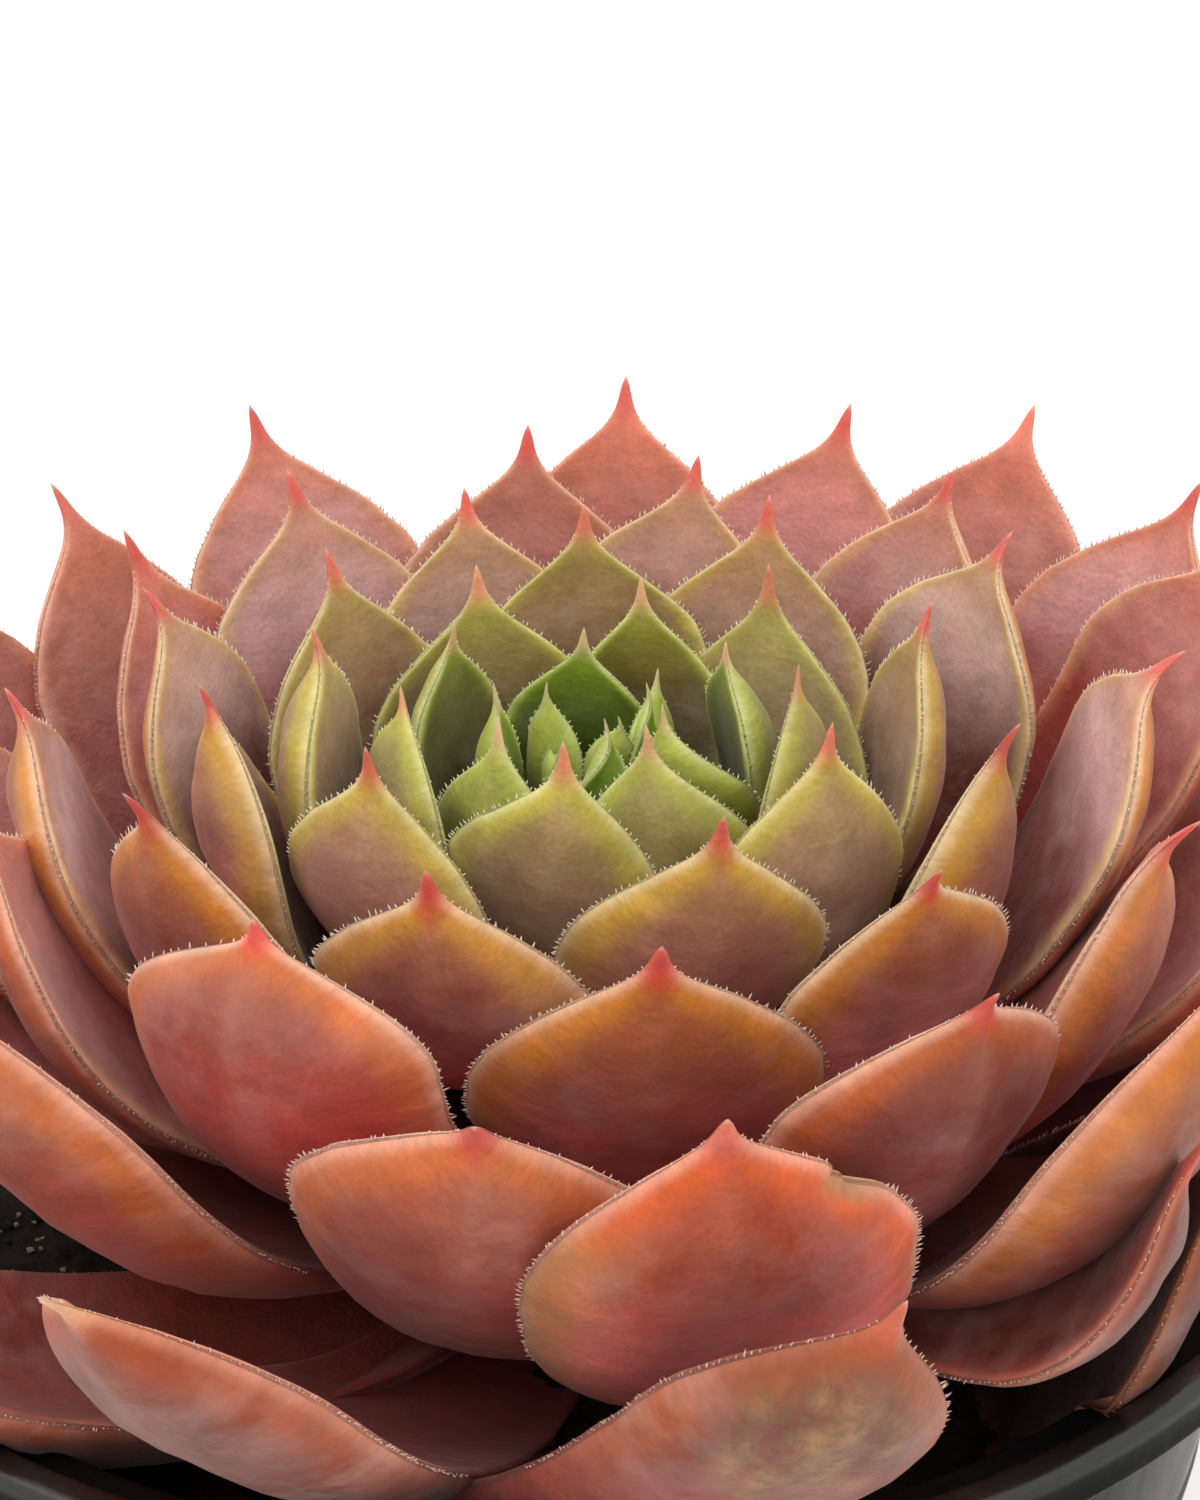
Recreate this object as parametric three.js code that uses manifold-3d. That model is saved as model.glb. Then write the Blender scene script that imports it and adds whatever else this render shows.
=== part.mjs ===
// Houseleek rosette in a round nursery pot. Millimetres, +Z up, pot axis on Z, pot base on z = 0, front towards -Y.
import * as THREE from "three";
import { mergeVertices } from "three/addons/utils/BufferGeometryUtils.js";
import Module from "manifold-3d";

// ---------- driving dimensions ----------
const POT_H = 88; // height of the pot
const RIM_R = 60; // outer radius of the rim
const RIM_SKIRT = 3.4; // height of the rim's outer skirt
const BODY_TOP_R = 55.2; // outer radius of the wall just under the rim
const BODY_BASE_R = 42.2; // outer radius at the base
const WALL = 1.5;
const FLOOR = 2.0; // thickness of the pot's bottom
const DRAIN_R = 3.6; // drain holes
const DRAIN_RING = 29;
const DRAINS = 6;
const SOIL_DROP = 9.8; // soil surface below the rim
const GAP = 0.3; // air left between neighbouring pieces
const HEART = [4.4, 0, POT_H + 21.2]; // centre of the rosette
const STEM_R = 6.0;
const BUD_FIRST = 2; // the two innermost leaf points are smaller than the bud's own surface
const BUD_LAST = 18; // leaves up to this one are the undivided bud on the stem

// Leaves in growth order, in millimetres and degrees from the heart of the rosette:
// [index, azimuth, tip x, tip y, tip z, rise at base, rise at tip, width, cupping, roll, twist, tip length factor, tip recurve, thickness]
const LEAVES = [
  [0,280.7,-3.61,-0.73,2.00,91.3,96.0,1.90,0.300,0.0,0.0,1.900,0.50,1.60],
  [1,156.8,-0.70,-3.71,2.00,89.4,96.0,1.90,0.300,0.0,0.0,1.900,0.51,1.63],
  [2,7.9,1.28,1.04,3.40,86.8,96.0,3.60,0.300,0.0,0.0,1.700,0.52,1.66],
  [3,228.1,-2.58,-3.90,4.00,84.3,96.0,4.60,0.300,0.0,0.0,1.900,0.54,1.70],
  [4,90.6,3.30,3.83,4.70,82.0,96.0,4.40,0.300,0.0,0.0,1.900,0.55,1.73],
  [5,311.7,-3.78,3.00,5.20,79.6,96.0,5.20,0.300,0.0,0.0,1.900,0.56,1.76],
  [6,175.6,0.28,-2.36,5.00,77.4,96.0,4.60,0.300,0.0,0.0,1.800,0.57,1.79],
  [7,42.9,4.15,3.63,6.00,75.3,96.0,6.40,0.300,0.0,0.0,1.800,0.58,1.82],
  [8,263.4,-7.51,-0.44,6.85,73.3,96.0,7.80,0.300,0.0,0.0,1.500,0.60,1.86],
  [9,125.8,4.28,-4.32,7.19,61.1,90.1,11.23,0.280,-2.2,0.2,1.005,0.24,1.89],
  [10,347.4,-1.16,7.08,7.51,65.4,101.7,12.41,0.170,1.1,-2.1,0.917,0.60,1.92],
  [11,219.0,-6.87,-9.07,8.63,56.5,107.1,14.05,0.145,0.1,10.6,1.099,0.64,1.95],
  [12,80.5,8.88,1.83,8.94,28.7,96.4,11.07,0.131,5.5,-8.2,0.985,0.34,2.35],
  [13,293.0,-10.34,4.65,9.00,57.4,109.0,12.10,0.120,3.1,0.9,1.024,0.41,2.02],
  [14,148.4,3.09,-9.88,8.45,52.9,96.1,13.89,0.252,3.5,3.0,1.091,0.53,2.05],
  [15,18.8,3.01,12.19,9.20,56.9,95.1,13.60,0.224,-3.1,0.5,1.015,0.80,2.08],
  [16,245.4,-13.56,-6.98,9.92,43.8,102.4,13.14,0.020,4.9,-1.4,1.005,0.83,2.11],
  [17,103.2,13.67,-3.92,9.99,45.7,100.6,13.78,0.087,1.9,-0.6,1.015,0.67,2.14],
  [18,320.9,-9.10,12.51,10.02,44.3,96.4,18.80,0.161,14.4,-9.4,0.869,0.92,2.18],
  [19,202.4,-2.40,-17.00,10.92,51.2,94.7,16.21,0.225,16.8,5.5,1.077,0.34,2.21],
  [20,53.2,12.30,10.78,10.89,35.1,98.4,18.94,0.183,-17.6,6.2,1.064,0.56,2.24],
  [21,267.9,-19.99,-1.32,11.63,8.8,95.6,15.85,0.020,10.6,6.7,0.902,1.15,3.44],
  [22,134.6,15.25,-14.50,11.01,26.4,89.9,16.68,0.092,21.4,-4.5,1.051,0.63,2.30],
  [23,361.4,-1.22,23.24,10.24,47.0,98.1,18.51,0.244,2.9,4.6,0.867,1.17,2.34],
  [24,228.4,-15.08,-18.74,11.47,29.3,94.0,16.86,0.078,-2.4,2.0,1.020,0.89,2.37],
  [25,86.0,23.33,1.95,12.00,18.0,90.0,17.60,0.100,2.0,-8.0,0.950,1.00,3.00],
  [26,300.1,-20.28,14.05,10.70,22.4,85.3,18.45,0.067,10.8,-10.0,0.963,1.05,2.43],
  [27,164.7,7.70,-26.41,10.62,34.4,84.2,18.16,0.253,9.7,0.1,0.999,0.72,2.46],
  [28,31.9,13.08,24.90,10.27,32.3,90.0,20.24,0.214,-8.7,2.4,0.898,1.06,2.50],
  [29,257.0,-26.93,-9.17,11.17,10.9,88.5,17.66,0.145,14.9,-14.2,0.942,1.23,3.24],
  [30,113.8,27.59,-14.36,10.86,7.6,85.0,18.53,0.179,-7.5,2.2,1.009,1.65,3.77],
  [31,336.9,-10.59,27.80,9.62,28.0,83.0,18.81,0.195,3.7,0.7,0.874,0.91,2.59],
  [32,204.7,-10.60,-32.06,10.04,23.2,80.1,19.27,0.214,-2.1,0.4,0.976,0.86,2.62],
  [33,60.5,30.43,14.39,11.83,6.6,87.4,20.69,0.138,-15.2,14.8,0.740,1.68,2.66],
  [34,280.3,-32.75,6.41,11.00,-0.6,80.9,19.19,0.020,2.3,2.8,0.837,1.61,2.69],
  [35,138.3,20.69,-32.66,10.39,4.7,73.6,18.41,0.088,0.8,-10.1,0.874,1.16,2.72],
  [36,5.9,7.91,34.86,9.46,20.9,77.7,20.15,0.224,-0.6,-1.3,0.881,0.85,2.75],
  [37,234.2,-30.04,-23.72,10.78,5.0,80.9,20.21,0.067,-7.2,1.9,0.963,1.87,3.42],
  [38,97.5,39.61,-6.76,12.45,-10.9,77.7,21.69,0.023,-2.1,-14.8,0.730,2.43,2.99],
  [39,313.6,-24.66,31.00,9.79,16.2,80.3,21.58,0.129,2.3,-8.4,0.858,1.60,2.85],
  [40,174.1,3.60,-40.79,10.03,7.5,71.4,23.15,0.187,1.4,-2.4,0.974,1.04,2.88],
  [41,39.5,27.94,30.80,9.96,12.7,82.5,20.80,0.187,6.2,0.2,0.854,0.94,2.91],
  [42,258.6,-40.47,-6.78,9.67,-2.9,86.8,21.36,0.020,-3.7,6.0,0.775,1.34,3.49],
  [43,123.2,37.41,-26.92,10.63,-5.0,81.0,21.68,0.083,-14.4,6.8,0.957,2.59,3.83],
  [44,345.7,-5.92,42.36,9.02,12.8,80.1,22.59,0.215,3.1,1.2,0.840,1.09,3.01],
  [45,210.2,-20.51,-37.26,9.73,8.9,100.7,22.03,0.144,-4.0,2.1,0.519,0.92,3.91],
  [46,76.0,46.34,10.70,13.11,3.6,81.2,21.68,0.229,1.7,-9.3,0.790,1.05,3.07],
  [47,298.6,-36.28,21.16,8.99,9.3,78.3,22.49,0.220,0.0,0.0,1.000,1.06,3.10],
  [48,157.9,22.74,-45.12,9.57,-5.7,73.2,20.97,0.186,2.9,-1.6,0.746,1.13,3.12],
  [49,18.0,20.90,46.33,9.29,10.5,72.6,22.76,0.245,-3.2,-1.1,0.908,1.15,3.17],
  [50,243.3,-41.71,-18.48,7.96,7.7,83.4,22.50,0.150,14.2,2.5,0.987,1.15,3.20],
  [51,100.7,51.00,-9.70,6.40,7.2,76.2,22.60,0.220,0.0,0.0,1.000,1.11,3.23],
  [52,328.9,-29.27,46.62,9.09,7.6,75.4,22.59,0.217,1.4,-0.5,0.952,1.30,3.26],
  [53,196.3,-6.88,-54.43,6.79,-15.0,62.4,24.20,0.108,6.3,2.3,0.849,1.56,4.31],
  [54,53.7,47.72,31.64,8.58,5.1,76.4,21.95,0.223,-0.5,-2.0,0.906,1.02,3.33],
  [55,276.6,-56.62,6.60,3.20,-2.0,66.0,22.60,0.220,4.0,0.0,1.000,1.16,3.36],
  [56,138.8,37.01,-43.48,11.15,-5.3,82.7,22.15,0.160,-7.6,2.2,0.979,1.17,3.49],
  [57,0.7,2.25,57.12,7.62,5.3,72.3,22.47,0.225,-1.2,-1.3,0.951,1.20,3.42],
  [58,222.9,-41.33,-41.65,9.57,-4.0,71.9,22.42,0.219,0.9,-3.3,0.980,1.14,3.54],
  [59,86.5,57.49,3.55,5.93,3.9,72.9,22.60,0.220,0.0,0.0,1.000,1.21,3.49],
  [60,305.6,-44.52,36.65,6.28,-0.6,79.9,22.59,0.099,-5.3,-10.1,0.956,2.02,3.52],
  [61,165.6,6.84,-57.17,9.30,-11.1,71.7,24.10,0.020,-3.6,-8.6,0.882,1.25,4.20],
  [62,33.3,37.31,53.42,6.40,3.9,71.3,22.52,0.234,-3.8,-2.4,0.956,1.21,3.52],
  [63,250.4,-56.27,-20.09,3.51,2.6,71.6,22.60,0.220,0.0,0.0,1.000,1.26,3.52],
  [64,112.8,54.11,-22.77,3.87,2.3,71.3,22.60,0.220,0.0,0.0,1.000,1.27,3.52],
  [65,341.3,-19.30,56.00,-6.00,-6.0,58.0,22.60,0.220,0.0,0.0,1.000,1.28,3.52],
  [66,194.0,-29.16,-65.52,3.75,-15.0,60.0,19.80,0.193,6.4,-13.6,1.069,1.26,3.22],
  [67,66.2,55.77,24.56,3.18,1.2,70.2,22.60,0.220,0.0,0.0,1.000,1.30,3.52],
  [68,288.7,-54.50,18.00,8.60,10.0,80.0,22.60,0.220,-4.0,0.0,1.000,1.32,3.52],
  [69,146.7,35.73,-45.35,0.12,26.2,89.8,20.69,0.020,-5.6,-34.0,1.010,1.83,3.08],
  [71,206.5,-56.14,-43.08,-7.51,4.8,72.3,24.20,0.280,-6.2,-6.5,0.981,1.17,3.90],
  [74,203.4,16.31,-62.93,1.72,-15.0,67.2,18.60,0.020,11.3,34.0,0.920,0.11,3.80],
  [77,129.1,40.08,-39.54,-5.44,-3.6,70.8,22.71,0.218,-49.3,-1.6,0.984,1.48,3.67]
];

// ---------- colours ----------
const matLeafGreen = new THREE.MeshStandardMaterial({ color: 0x8aa24a, roughness: 0.55, metalness: 0 });
const matLeafMauve = new THREE.MeshStandardMaterial({ color: 0xa0826a, roughness: 0.55, metalness: 0 });
const matLeafRed = new THREE.MeshStandardMaterial({ color: 0xb8675a, roughness: 0.5, metalness: 0 });
const matPot = new THREE.MeshStandardMaterial({ color: 0x1d1d1c, roughness: 0.45, metalness: 0 });
const matSoil = new THREE.MeshStandardMaterial({ color: 0x1c1713, roughness: 1.0, metalness: 0 });

const wasm = await Module();
wasm.setup();

// ---------- helpers ----------
function toManifold(g) {
  let q = g.clone();
  q.deleteAttribute("normal");
  if (q.getAttribute("uv")) q.deleteAttribute("uv");
  q = mergeVertices(q, 1e-4);
  return new wasm.Manifold(
    new wasm.Mesh({
      numProp: 3,
      vertProperties: new Float32Array(q.attributes.position.array),
      triVerts: new Uint32Array(q.index.array),
    }),
  );
}
function toGeometry(m) {
  const k = m.getMesh();
  const v = new Float32Array(k.numVert * 3);
  for (let i = 0; i < k.numVert; i++)
    for (let j = 0; j < 3; j++) v[i * 3 + j] = k.vertProperties[i * k.numProp + j];
  const g = new THREE.BufferGeometry();
  g.setAttribute("position", new THREE.BufferAttribute(v, 3));
  g.setIndex(new THREE.BufferAttribute(new Uint32Array(k.triVerts), 1));
  g.computeVertexNormals();
  return g;
}
function largest(m) {
  const b = m.decompose();
  let best = b[0];
  for (const x of b) if (x.volume() > best.volume()) best = x;
  return best;
}
// Vertices that a cut left closer together than a few thousandths are joined, so that every solid stays closed when written out.
function tidy(m) {
  const k = m.getMesh();
  for (const grid of [0.004, 0.006, 0.01, 0.015, 0.02, 0.03, 0.05, 0.08])
    for (const shift of [0, 0.17, 0.37, 0.53, 0.71, 0.89]) {
      const index = new Map();
      const verts = [];
      const at = new Int32Array(k.numVert);
      for (let i = 0; i < k.numVert; i++) {
        const c = [0, 1, 2].map((j) => Math.round(k.vertProperties[i * k.numProp + j] / grid + shift));
        const key = c.join();
        if (!index.has(key)) {
          index.set(key, verts.length / 3);
          verts.push(...c.map((v) => (v - shift) * grid));
        }
        at[i] = index.get(key);
      }
      const faces = new Map();
      for (let i = 0; i < k.triVerts.length; i += 3) {
        const f = [at[k.triVerts[i]], at[k.triVerts[i + 1]], at[k.triVerts[i + 2]]];
        if (f[0] === f[1] || f[1] === f[2] || f[0] === f[2]) continue;
        const key = [...f].sort((a, b) => a - b).join();
        if (faces.has(key)) faces.delete(key);
        else faces.set(key, f);
      }
      const edges = new Map();
      for (const f of faces.values())
        for (let j = 0; j < 3; j++) {
          const key = Math.min(f[j], f[(j + 1) % 3]) + "," + Math.max(f[j], f[(j + 1) % 3]);
          edges.set(key, (edges.get(key) || 0) + 1);
        }
      if ([...edges.values()].some((c) => c !== 2)) continue;
      try {
        const made = new wasm.Manifold(
          new wasm.Mesh({ numProp: 3, vertProperties: new Float32Array(verts), triVerts: new Uint32Array([...faces.values()].flat()) }),
        );
        if (made.volume() > 0 && made.decompose().length === 1) return made;
        if (made.volume() > 0) return largest(made);
      } catch (e) {
        continue;
      }
    }
  return m;
}
const rad = (d) => (d * Math.PI) / 180;
const dir = (az, el) =>
  new THREE.Vector3(
    Math.sin(rad(az)) * Math.cos(rad(el)),
    Math.cos(rad(az)) * Math.cos(rad(el)),
    Math.sin(rad(el)),
  );
const TIP_D = [0, 0.08, 0.16, 0.26, 0.36, 0.48, 0.62, 0.8, 1.0, 1.25, 1.5, 1.8, 2.2];
const TIP_W = [0, 0.035, 0.055, 0.085, 0.15, 0.26, 0.41, 0.57, 0.73, 0.88, 0.965, 1.0, 1.0];
function interp(x, xs, ys) {
  if (x <= xs[0]) return ys[0];
  for (let i = 1; i < xs.length; i++)
    if (x <= xs[i]) return ys[i - 1] + ((ys[i] - ys[i - 1]) * (x - xs[i - 1])) / (xs[i] - xs[i - 1]);
  return ys[ys.length - 1];
}

// One leaf as a closed body: stations along a curved midrib, a flattened section at each, a point at the tip.
function leafGeometry(row, grow) {
  const [n, az, tx, ty, tz, eb, et, W0, cup, roll, twist, tp, rc, th0] = row;
  const t = n / 70;
  const rb = 3 + 12 * Math.pow(t, 0.7);
  const zb = -7 - 25 * Math.pow(t, 0.85);
  const B = new THREE.Vector3(rb * Math.sin(rad(az)), rb * Math.cos(rad(az)), zb);
  const T = new THREE.Vector3(tx, ty, tz);
  const dv = T.clone().sub(B);
  const ch = dv.length();
  let azd = (Math.atan2(dv.x, dv.y) * 180) / Math.PI;
  azd = az + ((((azd - az + 180) % 360) + 360) % 360) - 180;
  const azt = azd + (azd - az) * 0.6;
  const P1 = B.clone().addScaledVector(dir(az, eb), ch * 0.42);
  const P2 = T.clone().addScaledVector(dir(azt, et), -ch * 0.4);
  const curve = new THREE.CubicBezierCurve3(B, P1, P2, T);
  curve.arcLengthDivisions = 160;
  const L = curve.getLength();
  const W = W0 / 2;
  const sm = 1 - (2.0 * W) / L;
  const bud = n <= BUD_LAST; // bud leaves get a plainer section
  const st = n > 24 ? [0, 0.28, 0.55, 0.78, 1] : bud ? [0, 0.5, 1] : [0, 0.4, 0.75, 1];
  const sEnd = Math.max(0.12, 1 - (1.15 * W * tp) / L);
  const S = st.map((f) => 0.02 + (sEnd - 0.02) * f);
  if (grow > 0) S[0] = 0.005;
  for (const d of bud ? [0.72, 0.42, 0.2] : [0.78, 0.5, 0.3, 0.14]) S.push(1 - (d * W * tp) / L);
  const rings = [];
  for (const s of S) {
    const q = curve.getPointAt(Math.min(1, s));
    const a = curve.getPointAt(Math.max(0, s - 0.01));
    const b = curve.getPointAt(Math.min(1, s + 0.01));
    const tg = b.sub(a).normalize();
    const azs = rad(az + (azt - az) * s);
    const lat = new THREE.Vector3(Math.cos(azs), -Math.sin(azs), 0);
    lat.addScaledVector(tg, -lat.dot(tg)).normalize();
    const nr = new THREE.Vector3().crossVectors(lat, tg).normalize();
    const rl = rad(roll + twist * (s - 0.5) * 2);
    const lt = lat.clone().multiplyScalar(Math.cos(rl)).addScaledVector(nr, Math.sin(rl));
    const nn = nr.clone().multiplyScalar(Math.cos(rl)).addScaledVector(lat, -Math.sin(rl));
    const d = ((1 - s) * L) / (W * tp);
    const wt = interp(d, TIP_D, TIP_W);
    const bw = n > 18 ? 0.5 : 0.62;
    const wb = s < sm ? 1 - (1 - bw) * Math.pow((sm - s) / Math.max(sm, 0.05), 1.35) : 1;
    const w = W * Math.min(wt, wb);
    const s0 = 1 - (0.62 * W * tp) / L;
    const f = Math.pow(Math.min(1, Math.max(0, (s - s0) / (1 - s0))), 2);
    q.addScaledVector(nn, rc * (1 - f));
    const thin = n > 18 ? 0.55 + 0.45 * Math.min(1, s / 0.45) : 1;
    const th = th0 * Math.min(1, Math.pow(w / W, 0.8)) * thin;
    const top = 0.16 * th;
    const at = (u, h) =>
      q.clone().addScaledVector(lt, u * w + Math.sign(u) * (Math.abs(u) > 0.9 ? grow : grow * 0.5)).addScaledVector(nn, cup * w * u * u + h);
    const under = [at(-1, 0), at(-0.62, -0.74 * th - grow), at(0, -th - grow), at(0.62, -0.74 * th - grow)];
    rings.push(
      bud
        ? [at(1, 0), at(0, top + grow), ...under]
        : [at(1, 0), at(0.55, top * 0.75 + grow), at(0, top + grow), at(-0.55, top * 0.75 + grow), ...under],
    );
  }
  const tipDir = dir(azt, et);
  const tip = T.clone().addScaledVector(tipDir, grow);
  const K = rings[0].length;
  const pos = [];
  const tri = (a, b, c) => pos.push(a.x, a.y, a.z, b.x, b.y, b.z, c.x, c.y, c.z);
  for (let i = 0; i + 1 < rings.length; i++)
    for (let j = 0; j < K; j++) {
      const j2 = (j + 1) % K;
      const p = rings[i][j], q = rings[i][j2], r = rings[i + 1][j2], s = rings[i + 1][j];
      tri(p, r, q);
      tri(p, s, r);
    }
  const r0 = rings[0];
  const c0 = new THREE.Vector3();
  for (const v of r0) c0.add(v);
  c0.multiplyScalar(1 / K);
  const rl = rings[rings.length - 1];
  for (let j = 0; j < K; j++) {
    tri(c0, r0[j], r0[(j + 1) % K]);
    tri(rl[j], tip, rl[(j + 1) % K]);
  }
  const g = new THREE.BufferGeometry();
  g.setAttribute("position", new THREE.Float32BufferAttribute(pos, 3));
  g.translate(HEART[0], HEART[1], HEART[2]);
  return g;
}

// ---------- pot ----------
function taperR(z) {
  const z1 = POT_H - RIM_SKIRT;
  return BODY_BASE_R + ((BODY_TOP_R - BODY_BASE_R) * z) / z1;
}
function lathe(points, segments) {
  const g = new THREE.LatheGeometry(points.map(([r, z]) => new THREE.Vector2(r, z)), segments);
  g.rotateX(Math.PI / 2);
  return g;
}
const SEG = 48;
const z1 = POT_H - RIM_SKIRT;
const inner = (z) => taperR(z) - WALL;
let pot = toManifold(
  lathe(
    [
      [0, 0],
      [BODY_BASE_R - 0.8, 0],
      [BODY_BASE_R, 0.8],
      [BODY_TOP_R, z1 + 0.9],
      [RIM_R - 1.0, z1 + 0.5],
      [RIM_R - 0.6, z1],
      [RIM_R, z1 + 0.4],
      [RIM_R, POT_H - 1.0],
      [RIM_R - 0.4, POT_H - 0.25],
      [RIM_R - 1.3, POT_H],
      [RIM_R - 2.4, POT_H - 0.35],
      [RIM_R - 3.0, POT_H - 1.3],
      [inner(POT_H - 3.2) + 0.6, POT_H - 2.3],
      [inner(POT_H - 4), POT_H - 4],
      [inner(FLOOR), FLOOR],
      [0, FLOOR],
      [0, 0],
    ],
    SEG,
  ),
);
if (pot.volume() < 0) throw new Error("pot profile is reversed");
for (let i = 0; i < DRAINS; i++) {
  const a = rad(30 + (360 / DRAINS) * i);
  const c = new THREE.CylinderGeometry(DRAIN_R, DRAIN_R, 12, 12);
  c.rotateX(Math.PI / 2);
  c.translate(DRAIN_RING * Math.cos(a), DRAIN_RING * Math.sin(a), 0);
  pot = pot.subtract(toManifold(c));
}

// ---------- soil: fills the pot up to below the rim ----------
const soilTop = POT_H - SOIL_DROP;
const soil = toManifold(
  lathe(
    [
      [0, FLOOR + GAP],
      [inner(FLOOR) - GAP, FLOOR + GAP],
      [inner(soilTop) - GAP, soilTop],
      [0, soilTop],
      [0, FLOOR + GAP],
    ],
    SEG,
  ),
);

// ---------- crown: short stem with the undivided bud ----------
const stemBottom = soilTop + GAP - HEART[2];
const stem = lathe(
  [
    [0, stemBottom],
    [STEM_R + 3.5, stemBottom],
    [STEM_R + 2.2, stemBottom + 4],
    [STEM_R, stemBottom + 12],
    [STEM_R - 1.5, stemBottom + 20],
    [2.5, -4.0],
    [0, -3.2],
    [0, stemBottom],
  ],
  20,
);
stem.translate(HEART[0], HEART[1], HEART[2]);
let crown = toManifold(stem);
let crownFat = null;
const solids = [];
for (const row of LEAVES) {
  if (row[0] > BUD_LAST) continue;
  if (row[0] < BUD_FIRST) continue;
  crown = crown.add(toManifold(leafGeometry(row, 0)));
}
crown = largest(crown);
for (const row of LEAVES) {
  if (row[0] > BUD_LAST) continue;
  const f = toManifold(leafGeometry(row, GAP)).add(toManifold(leafGeometry(row, 0)));
  crownFat = crownFat ? crownFat.add(f) : f;
}
const stemFat = lathe(
  [
    [0, stemBottom - 1],
    [STEM_R + 3.5 + GAP, stemBottom - 1],
    [STEM_R + 3.5 + GAP, stemBottom],
    [STEM_R + 2.2 + GAP, stemBottom + 4],
    [STEM_R + GAP, stemBottom + 12],
    [STEM_R - 1.5 + GAP, stemBottom + 20],
    [2.5 + GAP, -4.0 + GAP],
    [0, -3.2 + GAP],
    [0, stemBottom - 1],
  ],
  20,
);
stemFat.translate(HEART[0], HEART[1], HEART[2]);
crownFat = crownFat.add(toManifold(stemFat));

// The soil and the pot, each grown by the gap, are kept clear of the lowest leaves.
const soilFat = toManifold(
  lathe(
    [
      [0, soilTop - 12],
      [RIM_R + 25, soilTop - 12],
      [RIM_R + 25, POT_H - RIM_SKIRT - 3],
      [RIM_R + GAP, POT_H - RIM_SKIRT - 3],
      [RIM_R + GAP, POT_H - 0.6],
      [RIM_R - 0.4, POT_H + GAP],
      [RIM_R - 2.8, POT_H + GAP],
      [inner(POT_H - 3.2) + 0.2, POT_H - 1.9],
      [inner(soilTop) - 0.2, soilTop + GAP + 0.4],
      [inner(soilTop) - 0.6, soilTop + GAP],
      [0, soilTop + GAP],
      [0, soilTop - 12],
    ],
    SEG,
  ),
);

const group = new THREE.Group();
function put(name, solid, material) {
  const m = new THREE.Mesh(toGeometry(tidy(solid)), material);
  m.name = name;
  group.add(m);
}
put("pot", pot, matPot);
put("soil", soil, matSoil);
put("crown", crown, matLeafGreen);

const fats = [];
const boxes = [];
const clash = (a, b) =>
  a.min[0] < b.max[0] && a.max[0] > b.min[0] && a.min[1] < b.max[1] && a.max[1] > b.min[1] && a.min[2] < b.max[2] && a.max[2] > b.min[2];
for (const row of LEAVES) {
  const n = row[0];
  if (n <= BUD_LAST) continue;
  const raw = toManifold(leafGeometry(row, 0));
  let s = raw.subtract(crownFat);
  const bb = raw.boundingBox();
  for (let i = 0; i < fats.length; i++) if (clash(bb, boxes[i])) s = s.subtract(fats[i]);
  s = s.subtract(soilFat);
  s = largest(s);
  const fat = toManifold(leafGeometry(row, GAP)).add(raw);
  fats.push(fat);
  boxes.push(fat.boundingBox());
  put(`leaf_${String(n).padStart(2, "0")}`, s, n < 24 ? matLeafGreen : n < 33 ? matLeafMauve : matLeafRed);
}

export default group;
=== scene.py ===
"""Potted houseleek: the visible surfaces of a rosette of succulent leaves in a black nursery pot, in metres, +Z up."""
import math

import bpy
import numpy as np
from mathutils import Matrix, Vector


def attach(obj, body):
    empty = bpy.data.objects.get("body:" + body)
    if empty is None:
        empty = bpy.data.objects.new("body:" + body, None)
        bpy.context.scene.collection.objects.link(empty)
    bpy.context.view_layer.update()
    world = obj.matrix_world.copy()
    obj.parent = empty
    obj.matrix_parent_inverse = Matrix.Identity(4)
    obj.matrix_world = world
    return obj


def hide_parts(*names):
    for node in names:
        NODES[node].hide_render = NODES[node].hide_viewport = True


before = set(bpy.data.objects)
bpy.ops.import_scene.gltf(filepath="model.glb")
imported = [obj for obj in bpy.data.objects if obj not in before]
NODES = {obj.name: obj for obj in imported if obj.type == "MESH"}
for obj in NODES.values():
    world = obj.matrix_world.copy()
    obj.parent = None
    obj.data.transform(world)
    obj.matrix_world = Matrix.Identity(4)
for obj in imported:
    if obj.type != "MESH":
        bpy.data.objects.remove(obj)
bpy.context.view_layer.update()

# ------------------------------------------------------------------ sizes, mm
POT_H = 88.0
RIM_R = 60.0
RIM_SKIRT = 3.4
BODY_TOP_R = 55.2
BODY_BASE_R = 42.2
WALL = 1.5
FLOOR = 2.0
DRAIN_R, DRAIN_RING, DRAINS = 3.6, 29.0, 6
SOIL_TOP = POT_H - 9.8
HEART = np.array([4.4, 0.0, POT_H + 21.2])
BUD_LAST = 18
RNG = np.random.RandomState(11)

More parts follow.
